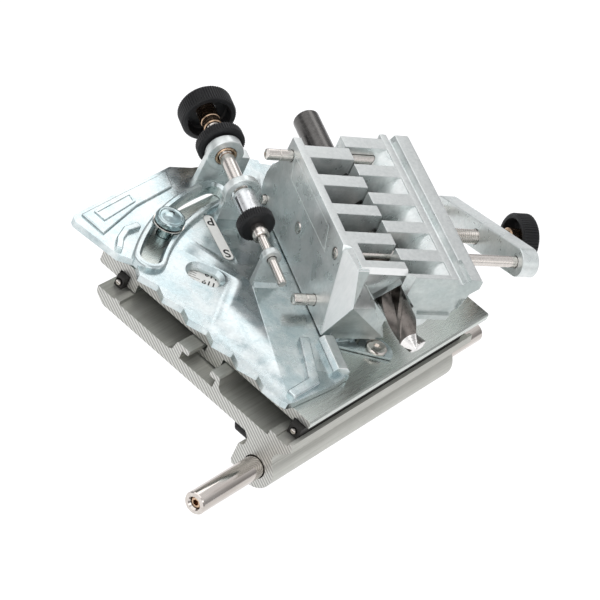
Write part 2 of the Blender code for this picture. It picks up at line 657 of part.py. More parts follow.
def main():
    clear_scene()
    build_bar()
    build_base()
    build_bar_lock()
    build_sled()
    build_angle_lock()
    build_guide()
    build_feed()
    build_holder()
    place_origins()
    shade_round_faces()


main()
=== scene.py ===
"""Looks of the drill sharpening attachment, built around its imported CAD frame."""
import json
import math

import bmesh
import bpy
from mathutils import Matrix, Vector

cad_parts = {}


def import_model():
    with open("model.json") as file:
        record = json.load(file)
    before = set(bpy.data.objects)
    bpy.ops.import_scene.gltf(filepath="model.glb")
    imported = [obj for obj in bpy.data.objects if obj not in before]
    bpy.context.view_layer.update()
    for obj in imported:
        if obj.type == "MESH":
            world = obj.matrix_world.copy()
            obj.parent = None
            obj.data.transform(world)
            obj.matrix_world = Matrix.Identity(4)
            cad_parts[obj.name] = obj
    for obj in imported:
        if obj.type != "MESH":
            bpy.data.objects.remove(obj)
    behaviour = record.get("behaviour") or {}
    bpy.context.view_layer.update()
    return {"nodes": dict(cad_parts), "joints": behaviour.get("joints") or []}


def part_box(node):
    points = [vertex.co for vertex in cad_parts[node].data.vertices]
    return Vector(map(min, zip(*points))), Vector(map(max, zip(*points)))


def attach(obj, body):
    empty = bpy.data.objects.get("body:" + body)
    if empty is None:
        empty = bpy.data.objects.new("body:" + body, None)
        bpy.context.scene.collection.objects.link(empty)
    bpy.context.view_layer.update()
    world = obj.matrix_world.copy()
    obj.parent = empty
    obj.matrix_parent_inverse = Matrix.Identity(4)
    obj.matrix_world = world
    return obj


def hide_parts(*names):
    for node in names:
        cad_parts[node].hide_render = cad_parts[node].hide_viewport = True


MM = 0.001
WELD = 0.000005
CAD_WELD = 0.000004
FLAT_ANGLE = 0.6
EDGE_ANGLE = 28
SHARP_ANGLE = 32
TINY = 1e-6
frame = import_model()
JOINTS = {joint["name"]: joint for joint in frame["joints"]}


def node_mm(name):
    low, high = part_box(name)
    return low / MM, high / MM


# ---- places taken from the frame (millimetres)
AXIS_U = Vector(JOINTS["holder_slide"]["axis"]).normalized()
AXIS_V = Vector(JOINTS["jaw_slide"]["axis"]).normalized()
PIVOT = [c / MM for c in JOINTS["guide_pivot"]["pos_m"]][:2]
FEED_POINT = Vector(JOINTS["feed_turn"]["pos_m"]) / MM
FEED = (FEED_POINT.dot(AXIS_V), FEED_POINT.z)
CLAMP_POINT = Vector(JOINTS["clamp_turn"]["pos_m"]) / MM
CLAMP = (CLAMP_POINT.dot(AXIS_U), CLAMP_POINT.z)
LOCK_POINT = Vector(JOINTS["angle_lock_turn"]["pos_m"]) / MM
JAW_LOW = node_mm("fixed_jaw")[0].z + 2.2
JAW_TOP = node_mm("fixed_jaw")[1].z
SCALE_TOP = node_mm("angle_scale")[1].z
LABEL_TOP = node_mm("position_label")[1].z
BAR_X0, BAR_X1 = node_mm("support_bar")[0].x, node_mm("support_bar")[1].x
BAR_R = node_mm("support_bar")[1].z
PLATE_Z0, PLATE_Z1 = 36.0, 40.0
LOCK_RADIUS = (LOCK_POINT.xy - Vector(PIVOT)).length
SLOT_ANGLES = (86.0, 121.6)
WINDOW_ANGLE, WINDOW_RADIUS = 118.6, 94.0
TOOTH_PITCH = 17.45
DRILL_V, DRILL_Z, DRILL_R = 68.7, 68.0, 7.2
DRILL_END, DRILL_TIP = -189.0, -16.0
DRILL_SEGMENTS, FLUTE_STEPS, POINT_LENGTH = 96, 124, 4.6
FLUTE_START, FLUTE_LEAD, FLUTE_PHASE, FLUTE_RUNOUT = -122.5, 96.0, 87.0, 12.0
FLUTE_DEPTH, FLUTE_SHARE = 4.9, 0.5
LAND_CLEARANCE, MARGIN_START = 0.35, 0.9
ROD_FRONT, ROD_REAR = (-71.5, 78.8), (-148.3, 44.8)
PIN_UPPER, PIN_LOWER = (-142.8, 80.4), (-70.3, 47.6)
LEFT_SLATS = ((-143.0, -133.6), (-120.9, -112.3), (-99.0, -91.0), (-78.2, -69.8), (-57.6, -50.0))
RIGHT_SLATS = ((-152.6, -144.0), (-130.9, -122.0), (-109.2, -100.2), (-88.0, -79.4), (-67.4, -58.8))
CHEEK_V0, CHEEK_V1 = 39.2, 44.2
LEFT_FACE_V, RIGHT_FACE_V = 70.0, 68.3
LEFT_APEX_V, RIGHT_APEX_V = 58.1, 79.3
BORE_FRONT, BORE_REAR, BORE_PIN = 3.3, 3.0, 3.3
YOKE_V0, YOKE_V1 = 145.0, 155.0
SLOT_HALF, SLOT_RIM_HALF = 4.8, 9.0
STROKE_HALF = 0.14
CUP_RIM, WHEEL_RIM = (7, 8), (3, 4)
SINK, GAP = 0.5, 0.02
INK_LOW, INK_HIGH = -0.02, 0.04


# ---- frames
def world(x, y, z):
    return Vector((x, y, z)) * MM


def holder(u, v, z):
    return (AXIS_U * u + AXIS_V * v + Vector((0, 0, z))) * MM


def along_x(a, b, t):
    return world(t, a, b)


def along_y(a, b, t):
    return world(a, t, b)


def along_z(a, b, t):
    return world(a, b, t)


def along_u(a, b, t):
    return holder(t, a, b)


def along_v(a, b, t):
    return holder(a, t, b)


def xy(u, v):
    point = holder(u, v, 0) / MM
    return (point.x, point.y)


def polar(radius, degrees):
    angle = math.radians(degrees)
    return (PIVOT[0] + radius * math.cos(angle), PIVOT[1] + radius * math.sin(angle))


def arc(centre, radius, start, end, steps):
    points = []
    for i in range(steps + 1):
        angle = math.radians(start + (end - start) * i / steps)
        points.append((centre[0] + radius * math.cos(angle), centre[1] + radius * math.sin(angle)))
    return points


# ---- mesh tools
def in_scene(name, data):
    obj = bpy.data.objects.new(name, data)
    bpy.context.scene.collection.objects.link(obj)
    return obj


def object_of(bm):
    mesh = bpy.data.meshes.new("mesh")
    bm.to_mesh(mesh)
    bm.free()
    return in_scene("tool", mesh)


def to_object(bm):
    """Welds a mesh, turns its faces outwards and makes it an object."""
    bmesh.ops.remove_doubles(bm, verts=bm.verts, dist=WELD)
    bmesh.ops.recalc_face_normals(bm, faces=bm.faces)
    return object_of(bm)


def bake(obj):
    """Applies the modifiers to the mesh."""
    graph = bpy.context.evaluated_depsgraph_get()
    result = bpy.data.meshes.new_from_object(obj.evaluated_get(graph))
    obj.modifiers.clear()
    old = obj.data
    obj.data = result
    bpy.data.meshes.remove(old)
    return obj


def soften(obj, width, segments=2, angle=EDGE_ANGLE):
    """Rounds the edges that are sharper than the angle."""
    if width > 0:
        mod = obj.modifiers.new("bevel", "BEVEL")
        mod.width = width * MM
        mod.segments = segments
        mod.limit_method = "ANGLE"
        mod.angle_limit = math.radians(angle)
        bake(obj)
    return obj


def loft(along, low_outline, high_outline, t0, t1, width=0.0, segments=2, angle=EDGE_ANGLE):
    """Straight solid between two outlines with as many points each."""
    bm = bmesh.new()
    low = [bm.verts.new(along(a, b, t0)) for a, b in low_outline]
    high = [bm.verts.new(along(a, b, t1)) for a, b in high_outline]
    bm.faces.new(low)
    bm.faces.new(list(reversed(high)))
    for i in range(len(low)):
        j = (i + 1) % len(low)
        bm.faces.new((low[i], high[i], high[j], low[j]))
    return soften(to_object(bm), width, segments, angle)


def prism(along, outline, t0, t1, width=0.0, segments=2, angle=EDGE_ANGLE):
    return loft(along, outline, outline, t0, t1, width, segments, angle)


def slab(u0, u1, v0, v1, z0, z1, width=0.0, segments=2):
    outline = [(u0, v0), (u1, v0), (u1, v1), (u0, v1)]
    return prism(holder, outline, z0, z1, width, segments)


def ring_points(along, centre, t, radii):
    count = len(radii)
    points = []
    for k, radius in enumerate(radii):
        angle = 2 * math.pi * k / count
        a = centre[0] + radius * math.cos(angle)
        b = centre[1] + radius * math.sin(angle)
        points.append(along(a, b, t))
    return points


def skin(rings, closed):
    """Quads between rings of points; a ring of one point closes an end."""
    bm = bmesh.new()
    loops = [[bm.verts.new(p) for p in ring] for ring in rings]
    pairs = len(loops) if closed else len(loops) - 1
    for i in range(pairs):
        first, second = loops[i], loops[(i + 1) % len(loops)]
        count = max(len(first), len(second))
        for k in range(count):
            n = (k + 1) % count
            corners = [first[k % len(first)], first[n % len(first)]]
            corners += [second[n % len(second)], second[k % len(second)]]
            unique = list(dict.fromkeys(corners))
            if len(unique) > 2:
                bm.faces.new(unique)
    return to_object(bm)


def turned(along, centre, profile, segments=48, ribs=0, depth=0.0, ribbed=()):
    """Revolves (t, r) points; the ribbed ones get that many ribs of that depth."""
    count = ribs * 4 if ribs else segments
    rings = []
    for index, (t, r) in enumerate(profile):
        if r < TINY:
            rings.append([along(centre[0], centre[1], t)])
            continue
        radii = [r - (depth if index in ribbed and k % 4 in (0, 1) else 0.0) for k in range(count)]
        rings.append(ring_points(along, centre, t, radii))
    closed = len(rings[0]) > 1 and len(rings[-1]) > 1
    return skin(rings, closed)


def rod(along, centre, t0, t1, radius, chamfer=0.0, segments=32):
    profile = [(t0, 0), (t0, radius - chamfer), (t0 + chamfer, radius)]
    profile += [(t1 - chamfer, radius), (t1, radius - chamfer), (t1, 0)]
    return turned(along, centre, profile, segments)


def radius_at(profile, t):
    for (t0, r0), (t1, r1) in zip(profile, profile[1:]):
        if t0 <= t <= t1 and t1 > t0:
            return r0 + (r1 - r0) * (t - t0) / (t1 - t0)
    return profile[-1][1]


def threaded(along, centre, profile, zone, pitch, depth, segments=32, per_turn=8):
    """A turned rod whose surface has a helical thread inside the zone."""
    zone0, zone1 = zone
    count = round((zone1 - zone0) / pitch * per_turn)
    stations = [(t, r, 0.0) for t, r in profile if t < zone0 or t > zone1]
    for i in range(count + 1):
        t = zone0 + (zone1 - zone0) * i / count
        fade = min(1.0, i / per_turn, (count - i) / per_turn)
        stations.append((t, radius_at(profile, t), fade))
    stations.sort(key=lambda s: s[0])
    rings = []
    for t, r, fade in stations:
        if r < TINY:
            rings.append([along(centre[0], centre[1], t)])
            continue
        radii = []
        for k in range(segments):
            wave = abs(2 * ((t / pitch - k / segments) % 1.0) - 1)
            radii.append(r - depth * fade * min(1.0, max(0.0, (wave - 0.1) / 0.75)))
        rings.append(ring_points(along, centre, t, radii))
    return skin(rings, False)


def hull(points):
    """Closed convex solid around points given as (u, v, z)."""
    bm = bmesh.new()
    bmesh.ops.convex_hull(bm, input=[bm.verts.new(holder(u, v, z)) for u, v, z in points])
    return to_object(bm)


def combine(target, tools, operation):
    for tool in tools:
        mod = target.modifiers.new("bool", "BOOLEAN")
        mod.operation = operation
        mod.solver = "EXACT"
        mod.object = tool
        bake(target)
        bpy.data.objects.remove(tool, do_unlink=True)
    return target


def add(target, *tools):
    return combine(target, tools, "UNION")


def cut(target, *tools):
    return combine(target, tools, "DIFFERENCE")


def copy_of(node, width=0.0, segments=2, angle=30):
    """A copy of a CAD node's mesh with its flat faces joined and its edges rounded."""
    bm = bmesh.new()
    bm.from_mesh(frame["nodes"][node].data)
    bmesh.ops.remove_doubles(bm, verts=bm.verts, dist=CAD_WELD)
    flat = math.radians(FLAT_ANGLE)
    bmesh.ops.dissolve_limit(bm, angle_limit=flat, verts=bm.verts, edges=bm.edges)
    obj = to_object(bm)
    obj.data.materials.clear()
    return soften(obj, width, segments, angle)


def joined(objects):
    """One object that holds the meshes of several, each kept as it is."""
    bm = bmesh.new()
    for obj in objects:
        bm.from_mesh(obj.data)
        bpy.data.objects.remove(obj, do_unlink=True)
    return object_of(bm)


def piece(obj, name, body, materials, nodes=(), sharp=SHARP_ANGLE, pick=None):
    """Names a finished mesh, gives it its finish and puts it on its body."""
    obj.name = name
    obj.data.name = name
    obj.data.materials.clear()
    for material in materials:
        obj.data.materials.append(material)
    for poly in obj.data.polygons:
        poly.material_index = pick(poly) if pick else 0
    obj.data.shade_smooth()
    obj.data.set_sharp_from_angle(angle=math.radians(sharp))
    mod = obj.modifiers.new("normals", "WEIGHTED_NORMAL")
    mod.keep_sharp = True
    bake(obj)
    obj.data.name = name
    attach(obj, body)
    if nodes:
        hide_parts(*nodes)
    return obj


def letters(text, size, origin, right, up, bold=0.12, height=0.05):
    """Flat raised characters centred on a point."""
    curve = bpy.data.curves.new("text", "FONT")
    curve.body = text
    curve.size = size * MM
    curve.offset = bold * MM
    curve.extrude = height * MM / 2
    curve.align_x = "CENTER"
    curve.align_y = "CENTER"
    source = in_scene("text", curve)
    right, up = right.normalized(), up.normalized()
    axes = Matrix((right, up, right.cross(up))).transposed().to_4x4()
    source.matrix_world = Matrix.Translation(origin) @ axes
    bpy.context.view_layer.update()
    graph = bpy.context.evaluated_depsgraph_get()
    mesh = bpy.data.meshes.new_from_object(source.evaluated_get(graph))
    mesh.transform(source.matrix_world)
    bpy.data.objects.remove(source, do_unlink=True)
    return in_scene("tool", mesh)


# ---- materials
class Nodes:
    """Small helper around one material's node tree."""

    def __init__(self, name):
        self.material = bpy.data.materials.new(name)
        self.material.use_nodes = True
        self.tree = self.material.node_tree
        self.shader = self.tree.nodes["Principled BSDF"]
        self.coords = self.tree.nodes.new("ShaderNodeTexCoord")

    def link(self, source, target):
        self.tree.links.new(source, target)

    def mapped(self, scale=(1, 1, 1), rotation=(0, 0, 0)):
        node = self.tree.nodes.new("ShaderNodeMapping")
        node.inputs["Scale"].default_value = scale
        node.inputs["Rotation"].default_value = rotation
        self.link(self.coords.outputs["Object"], node.inputs["Vector"])
        return node.outputs["Vector"]

    def noise(self, vector, scale, detail=4.0, rough=0.55, distortion=0.0):
        node = self.tree.nodes.new("ShaderNodeTexNoise")
        node.inputs["Scale"].default_value = scale
        node.inputs["Detail"].default_value = detail
        node.inputs["Roughness"].default_value = rough
        node.inputs["Distortion"].default_value = distortion
        self.link(vector, node.inputs["Vector"])
        return node.outputs["Fac"]

    def cells(self, vector, scale):
        node = self.tree.nodes.new("ShaderNodeTexVoronoi")
        node.inputs["Scale"].default_value = scale
        self.link(vector, node.inputs["Vector"])
        return node.outputs["Distance"]

    def waves(self, vector, scale, distortion=1.0, detail=2.0, profile="SIN"):
        node = self.tree.nodes.new("ShaderNodeTexWave")
        node.wave_profile = profile
        node.inputs["Scale"].default_value = scale
        node.inputs["Distortion"].default_value = distortion
        node.inputs["Detail"].default_value = detail
        self.link(vector, node.inputs["Vector"])
        return node.outputs["Fac"]

    def ramp(self, value, stops):
        node = self.tree.nodes.new("ShaderNodeValToRGB")
        elements = node.color_ramp.elements
        while len(elements) < len(stops):
            elements.new(0.5)
        for element, (position, colour) in zip(elements, stops):
            element.position = position
            shade = tuple(colour) if hasattr(colour, "__len__") else (colour,) * 3
            element.color = shade + (1.0,)
        self.link(value, node.inputs["Fac"])
        return node.outputs["Color"]

    def mix(self, first, second, factor, blend="MIX"):
        node = self.tree.nodes.new("ShaderNodeMix")
        node.data_type = "RGBA"
        node.blend_type = blend
        sockets = (node.inputs[0], node.inputs[6], node.inputs[7])
        for socket, value in zip(sockets, (factor, first, second)):
            if hasattr(value, "is_output"):
                self.link(value, socket)
            elif hasattr(value, "__len__"):
                socket.default_value = (*value, 1.0)
            else:
                socket.default_value = value
        return node.outputs[2]

    def math(self, operation, first, second):
        node = self.tree.nodes.new("ShaderNodeMath")
        node.operation = operation
        for socket, value in zip(node.inputs, (first, second)):
            if hasattr(value, "is_output"):
                self.link(value, socket)
            else:
                socket.default_value = value
        return node.outputs["Value"]

    def bump(self, height, strength, distance=0.0002):
        node = self.tree.nodes.new("ShaderNodeBump")
        node.inputs["Strength"].default_value = strength
        node.inputs["Distance"].default_value = distance
        self.link(height, node.inputs["Height"])
        self.link(node.outputs["Normal"], self.shader.inputs["Normal"])

    def finish(self, colour, rough, metallic):
        self.link(colour, self.shader.inputs["Base Color"])
        if hasattr(rough, "is_output"):
            self.link(rough, self.shader.inputs["Roughness"])
        else:
            self.shader.inputs["Roughness"].default_value = rough
        self.shader.inputs["Metallic"].default_value = metallic
        return self.material


def zinc_material(name, dark, light, rough, metallic):
    """Blue zinc plate on a casting: soft clouds, small spangles and a faint grain."""
    n = Nodes(name)
    space = n.mapped()
    clouds = n.noise(space, 110.0, 3.0, 0.5, 0.3)
    fine = n.noise(space, 520.0, 3.0, 0.6, 0.3)
    spangle = n.cells(space, 620.0)
    middle = tuple((a + b) / 2 for a, b in zip(dark, light))
    colour = n.ramp(clouds, ((0.30, dark), (0.50, middle), (0.66, light)))
    colour = n.mix(colour, n.ramp(fine, ((0.35, 0.72), (0.65, 1.0))), 0.35, "MULTIPLY")
    colour = n.mix(colour, n.ramp(spangle, ((0.0, 1.0), (0.6, 0.82))), 0.25, "MULTIPLY")
    broad = n.noise(space, 24.0, 2.0)
    colour = n.mix(colour, n.ramp(broad, ((0.36, 0.66), (0.58, 1.0))), 0.45, "MULTIPLY")
    roughness = n.ramp(clouds, ((0.3, rough - 0.06), (0.7, rough + 0.08)))
    grit = n.noise(space, 1500.0)
    n.bump(n.math("ADD", n.math("MULTIPLY", fine, 0.5), n.math("MULTIPLY", grit, 0.5)), 0.08)
    return n.finish(colour, roughness, metallic)


def ground_material(name, colour_low, colour_high, rough, scale, metallic=1.0, bump=0.1,
                    stretch=(1, 1, 1)):
    """Metal with fine lines along one axis, as left by grinding or drawing."""
    n = Nodes(name)
    lines = n.noise(n.mapped(stretch), scale, 4.0, 0.65)
    patches = n.noise(n.mapped(), 60.0, 3.0)
    colour = n.ramp(lines, ((0.3, colour_low), (0.7, colour_high)))
    colour = n.mix(colour, n.ramp(patches, ((0.3, 0.8), (0.7, 1.0))), 0.4, "MULTIPLY")
    roughness = n.ramp(lines, ((0.3, rough - 0.06), (0.7, rough + 0.08)))
    n.bump(lines, bump)
    return n.finish(colour, roughness, metallic)


def sawn_material():
    """Sawn end of the extrusion: slanting blade marks."""
    n = Nodes("extrusion_sawn")
    space = n.mapped(rotation=(math.radians(58), 0, math.radians(90)))
    marks = n.waves(space, 190.0, 0.35, 2.0)
    grain = n.noise(n.mapped(), 900.0, 3.0)
    colour = n.ramp(marks, ((0.15, (0.36, 0.36, 0.34)), (0.85, (0.66, 0.66, 0.63))))
    colour = n.mix(colour, n.ramp(grain, ((0.3, 0.75), (0.7, 1.0))), 0.5, "MULTIPLY")
    n.bump(n.math("ADD", marks, grain), 0.22)
    return n.finish(colour, 0.42, 0.85)


def plastic_material(name, colour, rough, scale=700.0, strength=0.12, spread=1.5):
    """Moulded plastic with a fine grain."""
    n = Nodes(name)
    grain = n.noise(n.mapped(), scale, 3.0)
    colour = n.ramp(grain, ((0.3, colour), (0.75, tuple(c * spread + 0.004 for c in colour))))
    roughness = n.ramp(grain, ((0.3, rough - 0.05), (0.7, rough + 0.1)))
    n.bump(grain, strength)
    n.shader.inputs["Specular IOR Level"].default_value = 0.3
    return n.finish(colour, roughness, 0.0)


ZINC = zinc_material("zinc_plate", (0.50, 0.60, 0.62), (0.80, 0.86, 0.86), 0.25, 0.95)
STUD = zinc_material("zinc_stud", (0.34, 0.46, 0.48), (0.58, 0.67, 0.68), 0.12, 1.0)
ZINC_JAW = zinc_material("zinc_jaw", (0.70, 0.76, 0.75), (0.86, 0.89, 0.88), 0.30, 0.68)
JAW_GROUND = ground_material("jaw_ground", (0.60, 0.63, 0.62), (0.74, 0.76, 0.75), 0.36, 500.0)
# painted shade: a darker copy of the jaw zinc for the faces that look forward
JAW_FRONT_PAINTED_SHADE = zinc_material("zinc_front_painted_shade", (0.46, 0.52, 0.51), (0.60, 0.65, 0.63), 0.34, 0.80)
# cut facet and rim: a real cut face, painted paler as a highlight
JAW_CUT_PAINTED_HIGHLIGHT = ground_material("jaw_cut_painted_highlight", (0.88, 0.90, 0.89), (0.96, 0.97, 0.96), 0.45, 600.0,
                             0.35, 0.06, (1, 1, 0.3))
EXTRUSION = ground_material("extrusion_drawn", (0.44, 0.44, 0.40), (0.58, 0.58, 0.54), 0.42, 900.0,
                            0.75, 0.06, (0.02, 1, 1))
SAWN = sawn_material()
SLED = ground_material("sled_satin", (0.57, 0.60, 0.57), (0.61, 0.65, 0.61), 0.27, 1500.0,
                       0.90, 0.012, (0.03, 1, 1))
STEEL = ground_material("bright_steel", (0.58, 0.54, 0.50), (0.78, 0.74, 0.70), 0.16, 1200.0, 1.0, 0.05)
CHROME = ground_material("bar_chrome", (0.54, 0.49, 0.45), (0.68, 0.64, 0.60), 0.10, 600.0,
                         1.0, 0.03, (0.05, 1, 1))
BRONZE = ground_material("bronze", (0.52, 0.36, 0.24), (0.66, 0.48, 0.34), 0.24, 500.0, 1.0, 0.03)
BLACK = plastic_material("black_knurl", (0.010, 0.010, 0.011), 0.40)
STRIP = plastic_material("black_strip", (0.016, 0.015, 0.014), 0.50)
DARK = ground_material("dark_steel", (0.11, 0.105, 0.10), (0.16, 0.155, 0.15), 0.24, 500.0, 1.0, 0.04)
FLUTE = ground_material("flute_steel", (0.13, 0.115, 0.105), (0.21, 0.19, 0.175), 0.30, 300.0,
                        1.0, 0.04)
FACET = ground_material("facet_steel", (0.80, 0.78, 0.76), (0.92, 0.90, 0.88), 0.22, 900.0, 1.0, 0.1)
WHITE = plastic_material("white_label", (0.76, 0.76, 0.73), 0.45, 500.0, 0.03, 1.06)
INK = plastic_material("ink", (0.012, 0.012, 0.013), 0.5, 600.0, 0.05)
SLEEVE = ground_material("sleeve_white", (0.74, 0.76, 0.77), (0.88, 0.89, 0.90), 0.30, 700.0,
                         1.0, 0.05)
JAW_SET = [ZINC_JAW, JAW_GROUND, JAW_CUT_PAINTED_HIGHLIGHT, JAW_FRONT_PAINTED_SHADE]


# ---- bar, base and sled
def build_bar():
    """Chrome bar with a threaded hole and a screw in its near end."""
    hole = [(BAR_X0 + 13, 0), (BAR_X0 + 13, 3.3), (BAR_X0 + 1.6, 3.3), (BAR_X0 + 0.4, 4.2)]
    outer = [(BAR_X0, 3.7), (BAR_X0, BAR_R - 1.1), (BAR_X0 + 0.25, BAR_R - 0.45)]
    outer += [(BAR_X0 + 0.9, BAR_R), (BAR_X1 - 0.8, BAR_R), (BAR_X1, BAR_R - 0.8), (BAR_X1, 0)]
    bar = turned(along_x, (0, 0), hole + outer, 64)
    piece(bar, "support_bar_chrome", "bar", [CHROME], ["support_bar"], 25)
    low, high = node_mm("bar_end_screw")
    body = [(low.x, 0), (low.x, 2.5), (low.x + 0.5, 3.0), (high.x - 0.4, 3.0)]
    body += [(high.x, 2.6), (high.x, 0)]
    screw = threaded(along_x, (0, 0), body, (low.x + 0.6, high.x - 0.6), 1.0, 0.4, 28)
    cut(screw, rod(along_x, (0, 0), low.x - 1, low.x + 5, 1.75, 0, 6))
    piece(screw, "bar_end_screw_thread", "bar", [BRONZE], ["bar_end_screw"], 30)


def end_face(poly):
    """The sawn ends of an extrusion."""
    return 1 if abs(poly.normal.x) > 0.9 else 0


def strip_screw(node, sign):
    """Small slotted screw in the end of a slide strip; sign points away from its head."""
    low, high = node_mm(node)
    head, tail = (low.x, high.x) if sign < 0 else (high.x, low.x)
    y, z, r = (low.y + high.y) / 2, (low.z + high.z) / 2, (high.y - low.y) / 2
    profile = [(head, 0), (head, r * 0.55), (head - sign * 0.35, r * 0.92), (head - sign * 0.9, r)]
    profile += [(tail + sign * 0.5, r), (tail, r * 0.6), (tail, 0)]
    screw = turned(along_x, (y, z), profile, 24)
    groove = [(y - r, z - 0.22), (y + r, z - 0.22), (y + r, z + 0.22), (y - r, z + 0.22)]
    cut(screw, prism(along_x, groove, head - 0.5, head + 0.5))
    piece(screw, node + "_slotted", "base", [STEEL], [node])


def build_base():
    base = copy_of("base_extrusion", 0.25, 2)
    piece(base, "base_profile", "base", [EXTRUSION, SAWN], ["base_extrusion"], 30, end_face)
    for side in ("rear", "front"):
        name = "slide_strip_" + side
        piece(copy_of(name, 0.35, 2), name + "_moulded", "base", [STRIP], [name])
        for end, sign in (("near", -1), ("far", 1)):
            strip_screw(f"strip_screw_{side}_{end}", sign)


def build_bar_lock():
    low, high = node_mm("bar_lock_screw")
    centre = ((low.x + high.x) / 2, (low.z + high.z) / 2)
    body = [(low.y, 0), (low.y, 1.9), (low.y + 0.5, 2.35), (high.y - 0.4, 2.35)]
    body += [(high.y, 1.9), (high.y, 0)]
    screw = threaded(along_y, centre, body, (low.y + 0.6, low.y + 12), 0.8, 0.35, 24)
    piece(screw, "bar_lock_thread", "bar_lock", [STEEL], ["bar_lock_screw"])
    low, high = node_mm("bar_lock_knob")
    r = (high.x - low.x) / 2
    profile = [(14.6, 3.0), (14.6, r - 1.4), (15.0, r - 1.0), (15.9, r), (26.7, r), (27.6, r - 0.9)]
    profile += [(28.0, r - 1.6), (28.0, r - 2.8), (27.4, r - 3.6), (27.2, 6.6), (26.6, 6.0), (26.6, 3.0)]
    knob = turned(along_y, centre, profile, ribs=54, depth=0.55, ribbed=WHEEL_RIM)
    piece(knob, "bar_lock_grip_ribbed", "bar_lock_grip", [BLACK], ["bar_lock_knob"])


def direction_at(degrees):
    angle = math.radians(degrees)
    return Vector((math.cos(angle), math.sin(angle), 0))


def scale_stroke(degree):
    """Radial stroke of the angle scale, longer at every fifth one."""
    angle = WINDOW_ANGLE + degree
    radial = direction_at(angle)
    side = Vector((-radial.y, radial.x)) * STROKE_HALF
    start, end = (95.6 if degree % 5 == 0 else 98.2), 101.6
    p0, p1 = Vector(polar(start, angle)), Vector(polar(end, angle))
    outline = [tuple(p) for p in (p0 - side, p1 - side, p1 + side, p0 + side)]
    return prism(along_z, outline, SCALE_TOP + INK_LOW, SCALE_TOP + INK_HIGH)


def scale_number(value):
    """A point angle's number; the table turns half a degree for each degree of it."""
    angle = WINDOW_ANGLE + (value - 118) / 2
    radial = direction_at(angle)
    x, y = polar(90.6, angle)
    return letters(str(value), 5.0, world(x, y, SCALE_TOP + 0.01), radial,
                   Vector((0, 0, 1)).cross(radial))


def build_sled():
    sled = copy_of("sled_table", 0.3, 2)
    piece(sled, "sled_table_satin", "sled", [SLED, SAWN], ["sled_table"], 30, end_face)
    piece(copy_of("angle_scale", 0.06, 1), "angle_scale_plate", "sled", [WHITE], ["angle_scale"])
    marks = [scale_stroke(degree) for degree in range(-18, 12)]
    marks += [scale_number(value) for value in (90, 100, 110, 118, 130)]
    piece(joined(marks), "angle_scale_marks", "sled", [INK])
    foot = node_mm("pivot_screw")[0].z
    profile = [(foot, 0), (foot, 2.6), (30.8, 3.1), (38.1, 3.1), (38.1, 5.6), (39.2, 5.6)]
    profile += [(39.7, 5.1), (39.9, 4.4), (39.9, 0)]
    pin = turned(along_z, PIVOT, profile, 40)
    cut(pin, rod(along_z, PIVOT, 38.9, 42, 2.0, 0, 6))
    piece(pin, "pivot_screw_turned", "sled", [STEEL], ["pivot_screw"])


def build_angle_lock():
    centre = (LOCK_POINT.x, LOCK_POINT.y)
    top = node_mm("angle_lock_stud")[1].z
    profile = [(30.4, 0), (30.4, 3.6), (30.9, 4.0), (44.4, 4.0), (44.4, 7.2), (44.8, 7.8)]
    profile += [(46.9, 7.9), (47.8, 7.5), (48.2, 6.7), (48.2, 6.1), (47.7, 5.6), (47.7, 5.0)]
    profile += [(48.1, 3.6), (top, 1.6), (top, 0)]
    stud = turned(along_z, centre, profile, 56)
    piece(stud, "angle_lock_cap", "angle_lock", [STUD], ["angle_lock_stud"], 40)
    washer = copy_of("angle_lock_washer", 0.12, 1, 40)
    piece(washer, "angle_lock_washer_flat", "angle_lock", [STEEL], ["angle_lock_washer"])


# ---- guide plate
def plate_outline():
    points = [(97.0, 147.2), (85.7, 153.6), (46.0, 152.6), (9.4, 151.4), (6.2, 150.4), (4.6, 147.6)]
    points += [(7.0, 118.9), (12.7, 111.0)]
    for k in range(6):
        tip = 102.9 - TOOTH_PITCH * k
        points.append((5.9 - 0.3 * k, tip))
        if k < 5:
            points.append((9.4 - 0.35 * k, tip - 10.4))
    points += [(4.9, 4.6), (6.4, 1.4), (10.0, 0.2), (41.7, -2.6), (51.6, -2.2)]
    edge = ((-24.0, 45.8), (-50.0, 45.8), (-53.0, 62.0), (-184.0, 62.0), (-186.5, 46.0))
    return points + [xy(u, v) for u, v in edge]


def slot_path(half, steps=28):
    a0, a1 = SLOT_ANGLES
    outer = arc(PIVOT, LOCK_RADIUS + half, a0, a1, steps)
    inner = arc(PIVOT, LOCK_RADIUS - half, a1, a0, steps)
    far = arc(polar(LOCK_RADIUS, a1), half, a1, a1 + 180, 14)[1:-1]
    near = arc(polar(LOCK_RADIUS, a0), half, a0 + 180, a0 + 360, 14)[1:-1]
    return outer + far + inner + near


def window_path(grow):
    angle = math.radians(WINDOW_ANGLE)
    radial, across = (math.cos(angle), math.sin(angle)), (-math.sin(angle), math.cos(angle))
    cx, cy = polar(WINDOW_RADIUS, WINDOW_ANGLE)
    points = []
    for k in range(36):
        t = 2 * math.pi * k / 36
        a = (5.5 + grow) * math.cos(t)
        b = (5.4 + grow) * math.sin(t) + math.copysign(3.2, math.sin(t) + 1e-9)
        points.append((cx + radial[0] * b + across[0] * a, cy + radial[1] * b + across[1] * a))
    return points


def label_path(grow):
    corners = []
    for centre, start in (((-136.0, 4.4), 90), ((-108.6, 6.6), -90)):
        corners += [xy(u, v) for u, v in arc(centre, 2.9 + grow, start, start + 180, 12)]
    return corners


def ribbon(points, half):
    """Outline of a strip of that half width along a line of points."""
    left, right = [], []
    for i, point in enumerate(points):
        before = Vector(points[max(i - 1, 0)])
        after = Vector(points[min(i + 1, len(points) - 1)])
        step = (after - before).normalized()
        side = Vector((-step.y, step.x)) * half
        left.append(tuple(Vector(point) + side))
        right.append(tuple(Vector(point) - side))
    return left + list(reversed(right))


